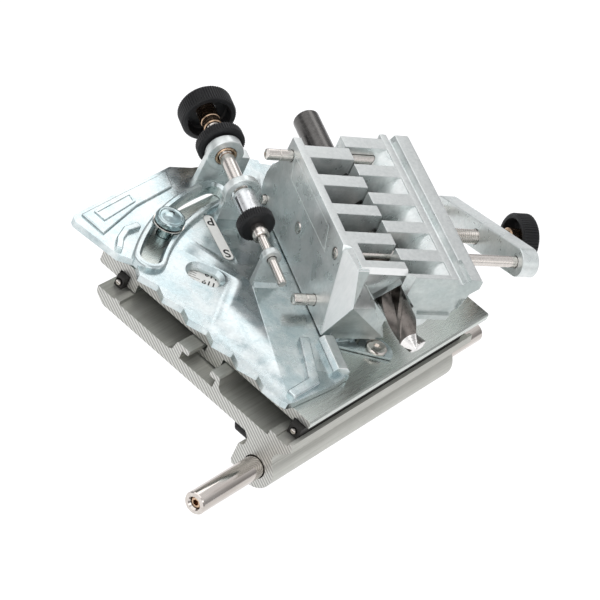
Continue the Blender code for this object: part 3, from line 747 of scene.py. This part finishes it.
def ear(v0, v1, ring, u0, u1, web_inset):
    """Upright ear with a round eye that carries the feed screw or its rod."""
    left = arc(FEED, ring - 0.7, 8, 172, 20)
    web = [(v1, PLATE_Z1 - 0.6)] + left + [(v0, PLATE_Z1 - 0.6)]
    body = prism(along_u, web, u0 + web_inset, u1 - web_inset, 0.5, 2)
    eye = turned(along_u, FEED, [(u0, 0), (u0, ring), (u1, ring), (u1, 0)], 56)
    return add(body, soften(eye, 0.7, 3, 50))


def raised_part(poly):
    """Ears and lugs that stand above the slot's rim."""
    return 1 if poly.center.z > 44.0 * MM else 0


def plate_relief():
    """What stands up from the plate: tongue, rim, ribs, stop block, pad and panel."""
    base = PLATE_Z0 + SINK
    tongue_path = [xy(-66.0, 57.0), xy(-66.0, 40.0), xy(-49.4, 44.0)] + arc(PIVOT, 9.4, -75, 135, 20)
    tongue = prism(along_z, tongue_path, PLATE_Z0 + 0.01, 37.7, 0.3)
    rim = prism(along_z, slot_path(SLOT_RIM_HALF), base, 43.0, 1.5, 4)
    rib = ((-49.0, 25.6), (-49.0, 31.4), (-17.0, 26.4), (-6.6, 8.6), (-11.5, 6.2), (-20.5, 20.6))
    ledge = prism(along_z, [xy(u, v) for u, v in rib], base, 42.6, 1.0, 3)
    block = [(35.8, 39.5), (45.4, 39.5), (45.4, 42.6), (43.2, 45.0), (38.2, 45.0), (35.8, 42.6)]
    stop_block = prism(along_u, block, -48.0, -24.6, 0.4)
    pad = [(11.0, 149.4), (47.0, 150.6), (80.0, 151.4), (74.0, 141.0), (44.0, 139.6), (11.0, 133.0)]
    raised = prism(along_z, pad, base, 41.2, 0.9, 3)
    curve = ribbon([(9.4, 121.0), (16.0, 126.2), (24.0, 129.4), (33.0, 128.6)], 1.9)
    step = prism(along_z, curve, base, 42.2, 0.7, 3)
    border = [(18.0, 147.2), (47.0, 148.6), (45.0, 142.0), (18.0, 139.4)]
    panel = prism(along_z, border, 40.6, 41.9, 0.3)
    field = [(19.2, 146.0), (45.4, 147.3), (44.0, 143.0), (19.2, 140.7)]
    cut(panel, prism(along_z, field, 41.4, 45.0))
    return tongue, rim, ledge, stop_block, raised, step, panel


def plate_ears():
    """The three ears, the foot of the small one, and two lugs beside the screw."""
    ears = [ear(6.8, 28.0, 10.0, -171.5, -165.7, 0.8), ear(9.4, 25.4, 9.8, -140.6, -135.9, 0.6)]
    ears.append(ear(12.6, 24.0, 5.4, -91.2, -87.2, 0.25))
    foot = [(18.0, 39.4), (34.0, 39.4), (26.6, 44.2), (24.2, 51.0), (18.0, 51.0)]
    ears.append(prism(along_u, foot, -90.94, -87.46, 0.4, 2))
    ears.append(hull([(-88.0, 13.0, 39.8), (-88.0, 33.0, 39.8), (-85.4, 13.4, 39.8),
                      (-85.4, 32.0, 39.8), (-87.5, 13.2, 42.2), (-87.5, 31.0, 42.2)]))
    for u0, u1, top in ((-180.0, -172.6, 52.0), (-164.0, -157.0, 47.0)):
        ears.append(slab(u0, u1, 30.2, 36.2, PLATE_Z0 + SINK, top, 0.6))
    return ears


def cut_plate(plate):
    """Slot, window, label pocket, channel and the bores."""
    cut(plate, prism(along_z, slot_path(SLOT_HALF), 30, 50))
    cut(plate, loft(along_z, slot_path(SLOT_HALF), slot_path(SLOT_HALF + 1.6), 41.4, 43.4))
    cut(plate, prism(along_z, window_path(0.0), 30, 50))
    cut(plate, loft(along_z, window_path(0.0), window_path(2.4), 37.6, 40.3))
    cut(plate, prism(along_z, label_path(0.3), 39.3, 50))
    cut(plate, slab(-200, -50.4, 49.8, 58.2, 38.0, 50))
    for u0, u1, radius in ((-173, -164, 6.1), (-142, -134, 6.4), (-93, -86, 2.75)):
        cut(plate, rod(along_u, FEED, u0, u1, radius, 0, 48))
    cut(plate, rod(along_z, PIVOT, 30, 45, 3.45, 0, 40))


def build_guide():
    plate = prism(along_z, plate_outline(), PLATE_Z0, PLATE_Z1, 0.7, 3, 20)
    add(plate, *plate_relief())
    add(plate, *plate_ears())
    cut_plate(plate)
    piece(plate, "guide_plate_cast", "guide", [ZINC, ZINC_JAW], ["guide_plate"], 30, raised_part)
    label = prism(along_z, label_path(0.0), 39.6, LABEL_TOP, 0.12, 2)
    piece(label, "position_label_plate", "guide", [WHITE], ["position_label"])
    marks = []
    for text, u, v in (("P", -134.2, 4.6), ("S", -110.4, 6.4)):
        x, y = xy(u, v)
        marks.append(letters(text, 8.2, world(x, y, LABEL_TOP), -AXIS_V, AXIS_U))
    piece(joined(marks), "position_label_marks", "guide", [INK])
    bush = [(-172.2, 4.35), (-172.2, 5.4), (-171.9, 5.75), (-165.5, 5.75), (-165.1, 5.3)]
    bush += [(-165.0, 4.9), (-165.3, 4.35)]
    piece(turned(along_u, FEED, bush, 48), "feed_bush_turned", "guide", [BRONZE], ["feed_bush"])


# ---- feed screw
def cup(back, front, radius, wall, web, bore):
    """Profile of a hollow knob, open to the front; its rim points are numbers 7 and 8."""
    sign = 1.0 if front > back else -1.0
    floor, inside = back + web * sign, radius - wall
    points = [(back, bore), (back, radius * 0.55), (back + 0.3 * sign, radius * 0.6)]
    points += [(back + 0.3 * sign, radius * 0.84), (back, radius * 0.88), (back, radius - 1.3)]
    points += [(back + 0.3 * sign, radius - 0.8), (back + 1.1 * sign, radius)]
    points += [(front - 1.1 * sign, radius), (front - 0.3 * sign, radius - 0.7), (front, radius - 1.3)]
    points += [(front, inside + 0.3), (front - 0.4 * sign, inside), (floor + 1.0 * sign, inside - 0.6)]
    return points + [(floor, inside - 1.4), (floor, bore)]


def wheel(back, front, bore, radius):
    """Profile of a thumb wheel; its rim points are numbers 3 and 4."""
    points = [(back, bore), (back, radius - 2.0), (back + 0.2, radius - 1.2), (back + 0.9, radius)]
    points += [(front - 0.9, radius), (front - 0.2, radius - 1.2), (front, radius - 2.0)]
    return points + [(front, bore)]


def build_feed():
    shape = cup(-206.0, -195.0, 15.0, 3.2, 4.0, 5.6)
    knob = turned(along_u, FEED, shape, ribs=66, depth=0.55, ribbed=CUP_RIM)
    piece(knob, "feed_knob_ribbed", "feed_drive", [BLACK], ["feed_knob"])
    hub = [(-205.2, 4.35), (-205.2, 5.25), (-193.6, 5.25), (-193.2, 4.95), (-189.0, 4.95)]
    hub = turned(along_u, FEED, hub + [(-188.5, 4.6), (-188.5, 4.35)], 48)
    piece(hub, "feed_knob_hub_turned", "feed_drive", [BRONZE], ["feed_knob_hub"])
    body = [(-206.2, 0), (-206.2, 3.4), (-205.7, 3.95), (-136.8, 3.95), (-136.2, 3.3), (-136.2, 0)]
    shaft = threaded(along_u, FEED, body, (-188.0, -164.0), 1.0, 0.42, 40, 7)
    piece(shaft, "feed_screw_thread", "feed_drive", [STEEL], ["feed_screw"])
    shape = wheel(-179.0, -172.7, 4.4, 13.0)
    lock = turned(along_u, FEED, shape, ribs=58, depth=0.5, ribbed=WHEEL_RIM)
    piece(lock, "feed_lock_ribbed", "feed_lock", [BLACK], ["feed_lock_wheel"])
    tube = [(-135.2, 2.75), (-135.2, 5.3), (-134.5, 6.0), (-118.2, 6.0), (-117.8, 5.7), (-117.8, 2.75)]
    sleeve = turned(along_u, FEED, tube, 60)
    cut(sleeve, slab(-131.5, -116.0, FEED[0] - 9, FEED[0] - 2.8, FEED[1] + 0.6, FEED[1] + 1.9))
    cut(sleeve, rod(along_v, (-131.5, FEED[1] + 1.25), FEED[0] - 9, FEED[0] - 2.8, 0.95, 0, 16))
    piece(sleeve, "split_sleeve_bright", "feed_carrier", [SLEEVE], ["split_sleeve"])
    shape = wheel(-117.4, -110.8, 2.8, 9.8)
    stop = turned(along_u, FEED, shape, ribs=46, depth=0.5, ribbed=WHEEL_RIM)
    piece(stop, "stop_wheel_ribbed", "stop_nut", [BLACK], ["stop_wheel"])
    collar = [(-110.4, 2.75), (-110.4, 4.3), (-106.2, 4.3), (-106.0, 4.1), (-105.8, 4.3)]
    collar = turned(along_u, FEED, collar + [(-103.8, 4.3), (-103.2, 3.6), (-103.2, 2.75)], 40)
    piece(collar, "stop_collar_turned", "feed_carrier", [STEEL], ["stop_collar"])
    thin = [(-135.7, 0), (-135.7, 2.0), (-135.3, 2.4), (-70.2, 2.4), (-69.5, 1.8), (-69.5, 0)]
    rod_piece = threaded(along_u, FEED, thin, (-118.0, -102.0), 0.7, 0.22, 28, 6)
    piece(rod_piece, "stop_rod_thread", "feed_carrier", [STEEL], ["stop_rod"])


# ---- drill holder
def jaw_nose():
    """Pointed front of the fixed jaw: flat outer facet and the block under the vee."""
    facet = [(-66.2, 39.2, 87.9), (-50.0, 41.5, 87.2), (-41.0, 42.1, 70.0), (-51.7, 39.2, 40.7)]
    inner = [(-66.2, 47.8, 87.9), (-50.1, 47.8, 87.2), (-51.7, 47.8, 40.7), (-60.0, 44.4, 60.0)]
    front = [(-50.0, 41.8, 84.2), (-41.1, 42.2, 70.0), (-48.6, 59.6, 63.6), (-50.2, LEFT_APEX_V, DRILL_Z)]
    low = [(-51.6, 39.6, 40.8), (-51.2, 75.2, 40.8), (-57.5, 69.9, 40.8), (-57.5, 69.9, 56.1)]
    back = [(-57.5, LEFT_APEX_V, DRILL_Z), (-57.5, 44.0, 82.0), (-57.5, 44.0, 40.8)]
    return [soften(hull(facet + inner), 0.25, 2, 20), soften(hull(front + low + back), 0.3, 2, 20)]


def jaw_finish(poly):
    """Finish and painted light of a jaw's face: 1 ground top, 2 cut facet and rim with painted highlight,
    3 front with painted shade, 0 cast.
    """
    centre, normal = poly.center / MM, poly.normal
    if normal.z > 0.9 and centre.z > JAW_TOP - 0.4:
        return 1
    along, forward = centre.dot(AXIS_U), normal.dot(AXIS_U)
    outer = normal.dot(AXIS_V) < -0.9 and centre.dot(AXIS_V) < 50
    facet = outer and forward > 0.08 and along > -66.4
    rim = forward > 0.4 and normal.z > 0.4 and centre.z > JAW_TOP - 3.4
    # the outer facet and the front rim take the painted highlight
    if facet or (rim and along > -53.0):
        return 2
    # faces that look forward take the painted shade, the rest stay cast zinc
    return 3 if forward > 0.85 and along > -52.5 else 0


def fixed_jaw_body():
    """Cheek, sloping filler and the slats with their 90 degree vee."""
    cheek = [(-66.0, JAW_TOP), (-55.4, 53.0), (-51.7, JAW_LOW), (-140.0, JAW_LOW), (-151.0, 41.0)]
    cheek += [(-155.2, 44.6), (-157.4, 50.0), (-157.8, 56.0), (-156.4, 62.0), (-152.6, 67.6)]
    cheek += [(-149.4, 73.0), (-148.8, JAW_TOP)]
    jaw = prism(along_v, cheek, CHEEK_V0, CHEEK_V1, 0.5, 2)
    filler = [(43.6, JAW_LOW), (58.0, JAW_LOW), (58.0, 61.0), (54.0, 67.0), (48.0, 80.0), (43.6, 83.0)]
    add(jaw, prism(along_u, filler, -143.0, -50.0, 0.4))
    face, apex = LEFT_FACE_V, LEFT_APEX_V
    slat = [(43.5, JAW_LOW + GAP), (face, JAW_LOW + GAP), (face, 56.1), (apex, DRILL_Z), (face, 79.9)]
    slat += [(face, JAW_TOP - GAP), (43.5, JAW_TOP - GAP)]
    for u0, u1 in LEFT_SLATS:
        add(jaw, prism(along_u, slat, u0 + GAP, u1 - GAP, 0.45, 2))
    add(jaw, slab(-142.0, -54.0, 50.2, 57.8, 38.4, JAW_LOW + 1.0))
    return add(jaw, slab(-71.0, -57.0, 43.5, 47.8, 60.0, JAW_TOP - GAP, 0.3))


def shape_nose(jaw):
    """The recess above the vee, the chamfered rim, the pointed nose and its small corner."""
    above = [(-50.0, 43.2, 85.2), (-50.0, 71.0, 85.2), (-54.0, LEFT_APEX_V, DRILL_Z), (-54.0, 71.0, 80.9)]
    cut(jaw, hull(above + [(-45.0, v, z) for _, v, z in above]))
    rim = [(-52.4, JAW_TOP + 0.1), (-49.8, JAW_TOP - 2.8), (-49.8, JAW_TOP + 0.1)]
    cut(jaw, hull([(u, v, z) for u, z in rim for v in (38.0, 72.0)]))
    add(jaw, *jaw_nose())
    cut(jaw, hull([(-66.6, 39.0, 84.9), (-68.6, 39.0, 88.2), (-66.0, 44.2, 88.2), (-64.0, 39.0, 88.2),
                   (-66.0, 38.0, 88.2)]))


def cheek_line(jaw):
    """A shallow line in the shape of a leaning rectangle on the cheek."""
    panel = [(-141.0, 84.0), (-86.0, 84.0), (-79.0, 72.0), (-134.0, 72.0)]
    inner = [(-140.0, 83.2), (-86.5, 83.2), (-80.6, 72.8), (-133.6, 72.8)]
    line = prism(along_v, panel, 38.0, 39.34)
    cut(line, prism(along_v, inner, 37.0, 40.0))
    cut(jaw, line)


def build_fixed_jaw():
    jaw = fixed_jaw_body()
    shape_nose(jaw)
    for centre, radius in ((ROD_FRONT, BORE_FRONT), (ROD_REAR, BORE_REAR),
                           (PIN_UPPER, BORE_PIN), (PIN_LOWER, BORE_PIN)):
        cut(jaw, rod(along_v, centre, 30, 80, radius, 0, 32))
    plug_centre = (CLAMP[0], 60.4)
    cut(jaw, rod(along_v, plug_centre, 30, 52, 3.3, 0, 32))
    cheek_line(jaw)
    piece(jaw, "fixed_jaw_cast", "holder", JAW_SET, ["fixed_jaw"], 30, jaw_finish)
    plug = rod(along_v, plug_centre, 38.9, 51.0, 3.0, 0.5, 32)
    piece(plug, "jaw_plug_turned", "holder", [STEEL], ["jaw_plug"])


def movable_jaw_body():
    """Wall, curved filler, slats with their vee, front block and clamp boss."""
    wall = [(93.0, 46.0), (96.4, 48.0), (105.6, 70.0), (107.4, 78.0), (111.6, 82.0), (111.6, 86.6)]
    wall += [(110.2, JAW_TOP), (102.4, JAW_TOP), (100.6, 84.6), (98.6, 84.6), (97.0, JAW_TOP)]
    jaw = prism(along_u, wall + [(93.0, JAW_TOP)], -156.5, -46.0, 0.5, 2)
    filler = [(93.5, 46.1), (93.5, 87.6), (91.0, 86.9), (88.4, 85.2), (85.8, 82.4), (83.0, 78.0)]
    filler += [(80.6, 73.0), (80.6, 57.0), (86.0, 46.1)]
    add(jaw, prism(along_u, filler, -152.0, -46.02, 0.3))
    face, apex = RIGHT_FACE_V, RIGHT_APEX_V
    slat = [(93.6, 45.0), (93.6, JAW_TOP - GAP), (face, JAW_TOP - GAP), (face, 79.0), (apex, DRILL_Z)]
    slat += [(face, 57.0), (face, 45.0)]
    for u0, u1 in RIGHT_SLATS:
        add(jaw, prism(along_u, slat, u0, u1, 0.45, 2))
    front = [(face, JAW_TOP - GAP), (face, 79.0), (apex, DRILL_Z), (74.0, 62.7), (74.0, 57.0)]
    front += [(93.6, 57.0), (93.6, JAW_TOP - GAP)]
    add(jaw, prism(along_u, front, -49.2, -46.03, 0.45, 2))
    return add(jaw, prism(along_v, arc(CLAMP, 8.0, 0, 345, 23), 92.0, 109.6, 0.4))


def shape_front(jaw):
    """Undercut, bevelled edge, pocket and rib on the movable jaw's front, and its top notch."""
    cut(jaw, slab(-55.0, -40.0, 60.0, 115.0, 40.0, 60.0))
    edge = [(-49.6, 68.1), (-45.9, 72.2), (-45.9, 68.1)]
    cut(jaw, hull([(u, v, z) for u, v in edge for z in (70.0, 90.0)]))
    pocket = [(81.8, 65.8), (83.0, 63.0), (103.4, 63.0), (106.4, 75.4), (99.0, 74.6)]
    cut(jaw, prism(along_u, pocket, -47.6, -44.0))
    rib = ribbon([(81.2, 66.6), (90.0, 70.4), (99.0, 75.0)], 0.5)
    add(jaw, prism(along_u, rib, -48.0, -46.03, 0.3))
    cut(jaw, slab(-60.6, -40.0, 101.8, 104.2, 86.4, 90.0))


def build_movable_jaw():
    jaw = movable_jaw_body()
    shape_front(jaw)
    for centre, end, radius in ((ROD_FRONT, 120, BORE_FRONT), (ROD_REAR, 120, BORE_REAR),
                                (PIN_UPPER, 108, BORE_PIN), (PIN_LOWER, 94, BORE_PIN)):
        cut(jaw, rod(along_v, centre, 60, end, radius, 0, 32))
    piece(jaw, "movable_jaw_cast", "moving_jaw", JAW_SET, ["movable_jaw"], 30, jaw_finish)


def pin_profile(t0, t1, radius):
    """Ground pin with a rounded end and a ring groove near it."""
    points = [(t0, 0), (t0, radius - 0.7), (t0 + 0.25, radius - 0.25), (t0 + 0.8, radius)]
    points += [(t0 + 6.6, radius), (t0 + 6.8, radius - 0.2), (t0 + 7.3, radius - 0.2), (t0 + 7.5, radius)]
    return points + [(t1 - 0.6, radius), (t1, radius - 0.6), (t1, 0)]


def build_rods():
    rows = (("jaw_pin_upper", PIN_UPPER, 24.6, 107.6, 3.0, "moving_jaw"),
            ("jaw_pin_lower", PIN_LOWER, 27.3, 93.4, 3.0, "moving_jaw"),
            ("guide_rod_front", ROD_FRONT, 38.9, 155.4, 3.0, "holder"),
            ("guide_rod_rear", ROD_REAR, 37.0, 155.4, 2.7, "holder"))
    for name, centre, t0, t1, radius, body in rows:
        pin = turned(along_v, centre, pin_profile(t0, t1, radius), 40)
        piece(pin, name + "_ground", body, [STEEL], [name])


def build_yoke():
    (u0, z0), (u1, z1) = ROD_REAR, ROD_FRONT
    tilt = math.degrees(math.atan2(z1 - z0, u1 - u0))
    outline = arc(ROD_FRONT, 7.8, tilt - 90, tilt + 90, 24)
    outline += arc(ROD_REAR, 7.8, tilt + 90, tilt + 270, 24)
    yoke = prism(along_v, outline, YOKE_V0, YOKE_V1, 0.7, 3)
    bores = ((ROD_FRONT, BORE_FRONT, 32), (ROD_REAR, BORE_REAR, 32), (CLAMP, 4.3, 36))
    for centre, radius, segments in bores:
        cut(yoke, rod(along_v, centre, YOKE_V0 - 5, YOKE_V1 + 5, radius, 0, segments))
    piece(yoke, "clamp_yoke_cast", "holder", [ZINC_JAW], ["clamp_yoke"], 30)


def build_clamp():
    body = [(110.0, 0), (110.0, 3.0), (110.9, 3.9), (175.8, 3.9), (176.6, 3.1), (176.6, 0)]
    screw = threaded(along_v, CLAMP, body, (111.0, 164.0), 1.25, 0.6, 32, 8)
    piece(screw, "clamp_screw_thread", "clamp_drive", [STEEL], ["clamp_screw"])
    hub = [(164.4, 4.3), (164.4, 5.0), (165.0, 5.8), (168.4, 5.8), (168.8, 5.5), (175.6, 5.5)]
    hub = turned(along_v, CLAMP, hub + [(175.6, 4.3)], 44)
    piece(hub, "clamp_knob_hub_turned", "clamp_drive", [BRONZE], ["clamp_knob_hub"])
    shape = cup(177.4, 167.4, 13.8, 3.0, 3.6, 6.1)
    knob = turned(along_v, CLAMP, shape, ribs=58, depth=0.55, ribbed=CUP_RIM)
    piece(knob, "clamp_knob_ribbed", "clamp_drive", [BLACK], ["clamp_knob"])


def drill_radius(wrap, depth):
    """Radius of the drill's section: flute, cleared land and margin, by share of half a turn."""
    if wrap < FLUTE_SHARE:
        return DRILL_R - depth * FLUTE_DEPTH * math.sin(math.pi * wrap / FLUTE_SHARE) ** 0.75
    return DRILL_R - depth * LAND_CLEARANCE if wrap < MARGIN_START else DRILL_R


def drill_ring(t):
    depth = min(1.0, max(0.0, (t - FLUTE_START) / FLUTE_RUNOUT)) ** 0.6
    limit = DRILL_R - max(0.0, 0.9 - (t - DRILL_END))
    limit = min(limit, max(0.35, (DRILL_TIP - t) * DRILL_R / POINT_LENGTH))
    ring = []
    for k in range(DRILL_SEGMENTS):
        angle = 2 * math.pi * k / DRILL_SEGMENTS
        radius = min(drill_radius((angle % math.pi) / math.pi, depth), limit)
        turn = angle + 2 * math.pi * max(t, FLUTE_START) / FLUTE_LEAD + math.radians(FLUTE_PHASE)
        ring.append(along_u(DRILL_V + radius * math.cos(turn), DRILL_Z + radius * math.sin(turn), t))
    return ring


def drill_finish(poly):
    """Finish of the drill's face: 0 shank, 1 flutes, 2 ground point."""
    t = poly.center.dot(AXIS_U) / MM
    if t < FLUTE_START:
        return 0
    return 2 if t > DRILL_TIP - POINT_LENGTH and poly.normal.dot(AXIS_U) > 0.35 else 1


def build_drill():
    """Twist drill: plain shank, two flutes with margins, ground point."""
    stations = [DRILL_END, DRILL_END + 0.25, DRILL_END + 0.9, FLUTE_START - 2.0]
    length = DRILL_TIP - FLUTE_START
    stations += [FLUTE_START + length * i / FLUTE_STEPS for i in range(FLUTE_STEPS + 1)]
    ends = [[along_u(DRILL_V, DRILL_Z, t)] for t in (DRILL_END, DRILL_TIP)]
    drill = skin(ends[:1] + [drill_ring(t) for t in stations] + ends[1:], False)
    piece(drill, "drill_bit_fluted", "drill", [DARK, FLUTE, FACET], ["drill_bit"], 38,
          drill_finish)


# ---- stage
FLOOR_HALF, FLOOR_Z = 9.0, -0.22
SKY_STOPS = ((0.0, 0.9), (0.49, 0.62), (0.56, 0.34), (0.70, 0.50), (0.85, 0.95), (1.0, 0.6))
LIGHT_TARGET = (0.07, 0.06, 0.04)
LIGHTS = (("key", (-0.35, 0.55, 1.15), (1.8, 1.6), 7.0),
          ("fill", (-0.9, -0.7, 0.55), (0.8, 0.8), 3.0),
          ("back", (1.25, 0.95, 0.95), (0.5, 0.9), 1.8),
          ("front", (0.30, -1.15, 0.45), (0.8, 0.6), 1.2))
LENS, SENSOR = 154.93, 36.0
CAMERA_PLACE = (-0.88348, -0.36316, 0.83490)
CAMERA_RIGHT, CAMERA_BACK = (0.5985, -0.7226, 0.3460), (-0.7299, -0.3138, 0.6073)


def build_stage():
    bm = bmesh.new()
    bmesh.ops.create_grid(bm, x_segments=2, y_segments=2, size=FLOOR_HALF)
    floor = to_object(bm)
    floor.name = "floor"
    floor.location = (0, 0, FLOOR_Z)
    n = Nodes("floor_pale")
    tone = n.noise(n.mapped(), 3.0, 2.0)
    colour = n.ramp(tone, ((0.3, (0.93, 0.93, 0.93)), (0.7, (0.95, 0.95, 0.95))))
    n.shader.inputs["Emission Color"].default_value = (1.0, 1.0, 1.0, 1.0)
    n.shader.inputs["Emission Strength"].default_value = 0.2
    floor.data.materials.append(n.finish(colour, 0.8, 0.0))


def area_light(name, location, size, power):
    light = bpy.data.lights.new(name, "AREA")
    light.shape = "RECTANGLE"
    light.size, light.size_y = size
    light.energy = power
    obj = in_scene(name, light)
    direction = Vector(LIGHT_TARGET) - Vector(location)
    obj.rotation_euler = direction.to_track_quat("-Z", "Y").to_euler()
    obj.location = location


def build_world():
    """Grey studio sky, banded by height so that the metal has something to reflect."""
    sky = bpy.data.worlds.new("studio")
    bpy.context.scene.world = sky
    sky.use_nodes = True
    tree = sky.node_tree
    tree.nodes.clear()
    coords = tree.nodes.new("ShaderNodeTexCoord")
    split = tree.nodes.new("ShaderNodeSeparateXYZ")
    ramp = tree.nodes.new("ShaderNodeValToRGB")
    back = tree.nodes.new("ShaderNodeBackground")
    out = tree.nodes.new("ShaderNodeOutputWorld")
    scale = tree.nodes.new("ShaderNodeMath")
    scale.operation = "MULTIPLY_ADD"
    scale.inputs[1].default_value = 0.5
    scale.inputs[2].default_value = 0.5
    tree.links.new(coords.outputs["Generated"], split.inputs[0])
    tree.links.new(split.outputs["Z"], scale.inputs[0])
    tree.links.new(scale.outputs[0], ramp.inputs["Fac"])
    tree.links.new(ramp.outputs["Color"], back.inputs["Color"])
    tree.links.new(back.outputs[0], out.inputs["Surface"])
    elements = ramp.color_ramp.elements
    while len(elements) < len(SKY_STOPS):
        elements.new(0.5)
    for element, (position, value) in zip(elements, SKY_STOPS):
        element.position = position
        element.color = (value, value, value * 1.02, 1)
    back.inputs["Strength"].default_value = 1.0


def build_lights():
    for light in LIGHTS:
        area_light(*light)


def build_camera():
    camera = bpy.data.cameras.new("camera")
    camera.lens = LENS
    camera.sensor_width = SENSOR
    obj = in_scene("camera", camera)
    right = Vector(CAMERA_RIGHT).normalized()
    back = Vector(CAMERA_BACK).normalized()
    up = back.cross(right).normalized()
    right = up.cross(back)
    matrix = Matrix((right, up, back)).transposed().to_4x4()
    matrix.translation = Vector(CAMERA_PLACE)
    obj.matrix_world = matrix
    camera.clip_end = 50.0
    bpy.context.scene.camera = obj


for build in (build_bar, build_base, build_bar_lock, build_sled, build_angle_lock, build_guide,
              build_feed, build_fixed_jaw, build_movable_jaw, build_rods, build_yoke, build_clamp,
              build_drill, build_stage, build_world, build_lights, build_camera):
    build()
bpy.context.scene.view_settings.view_transform = "Standard"
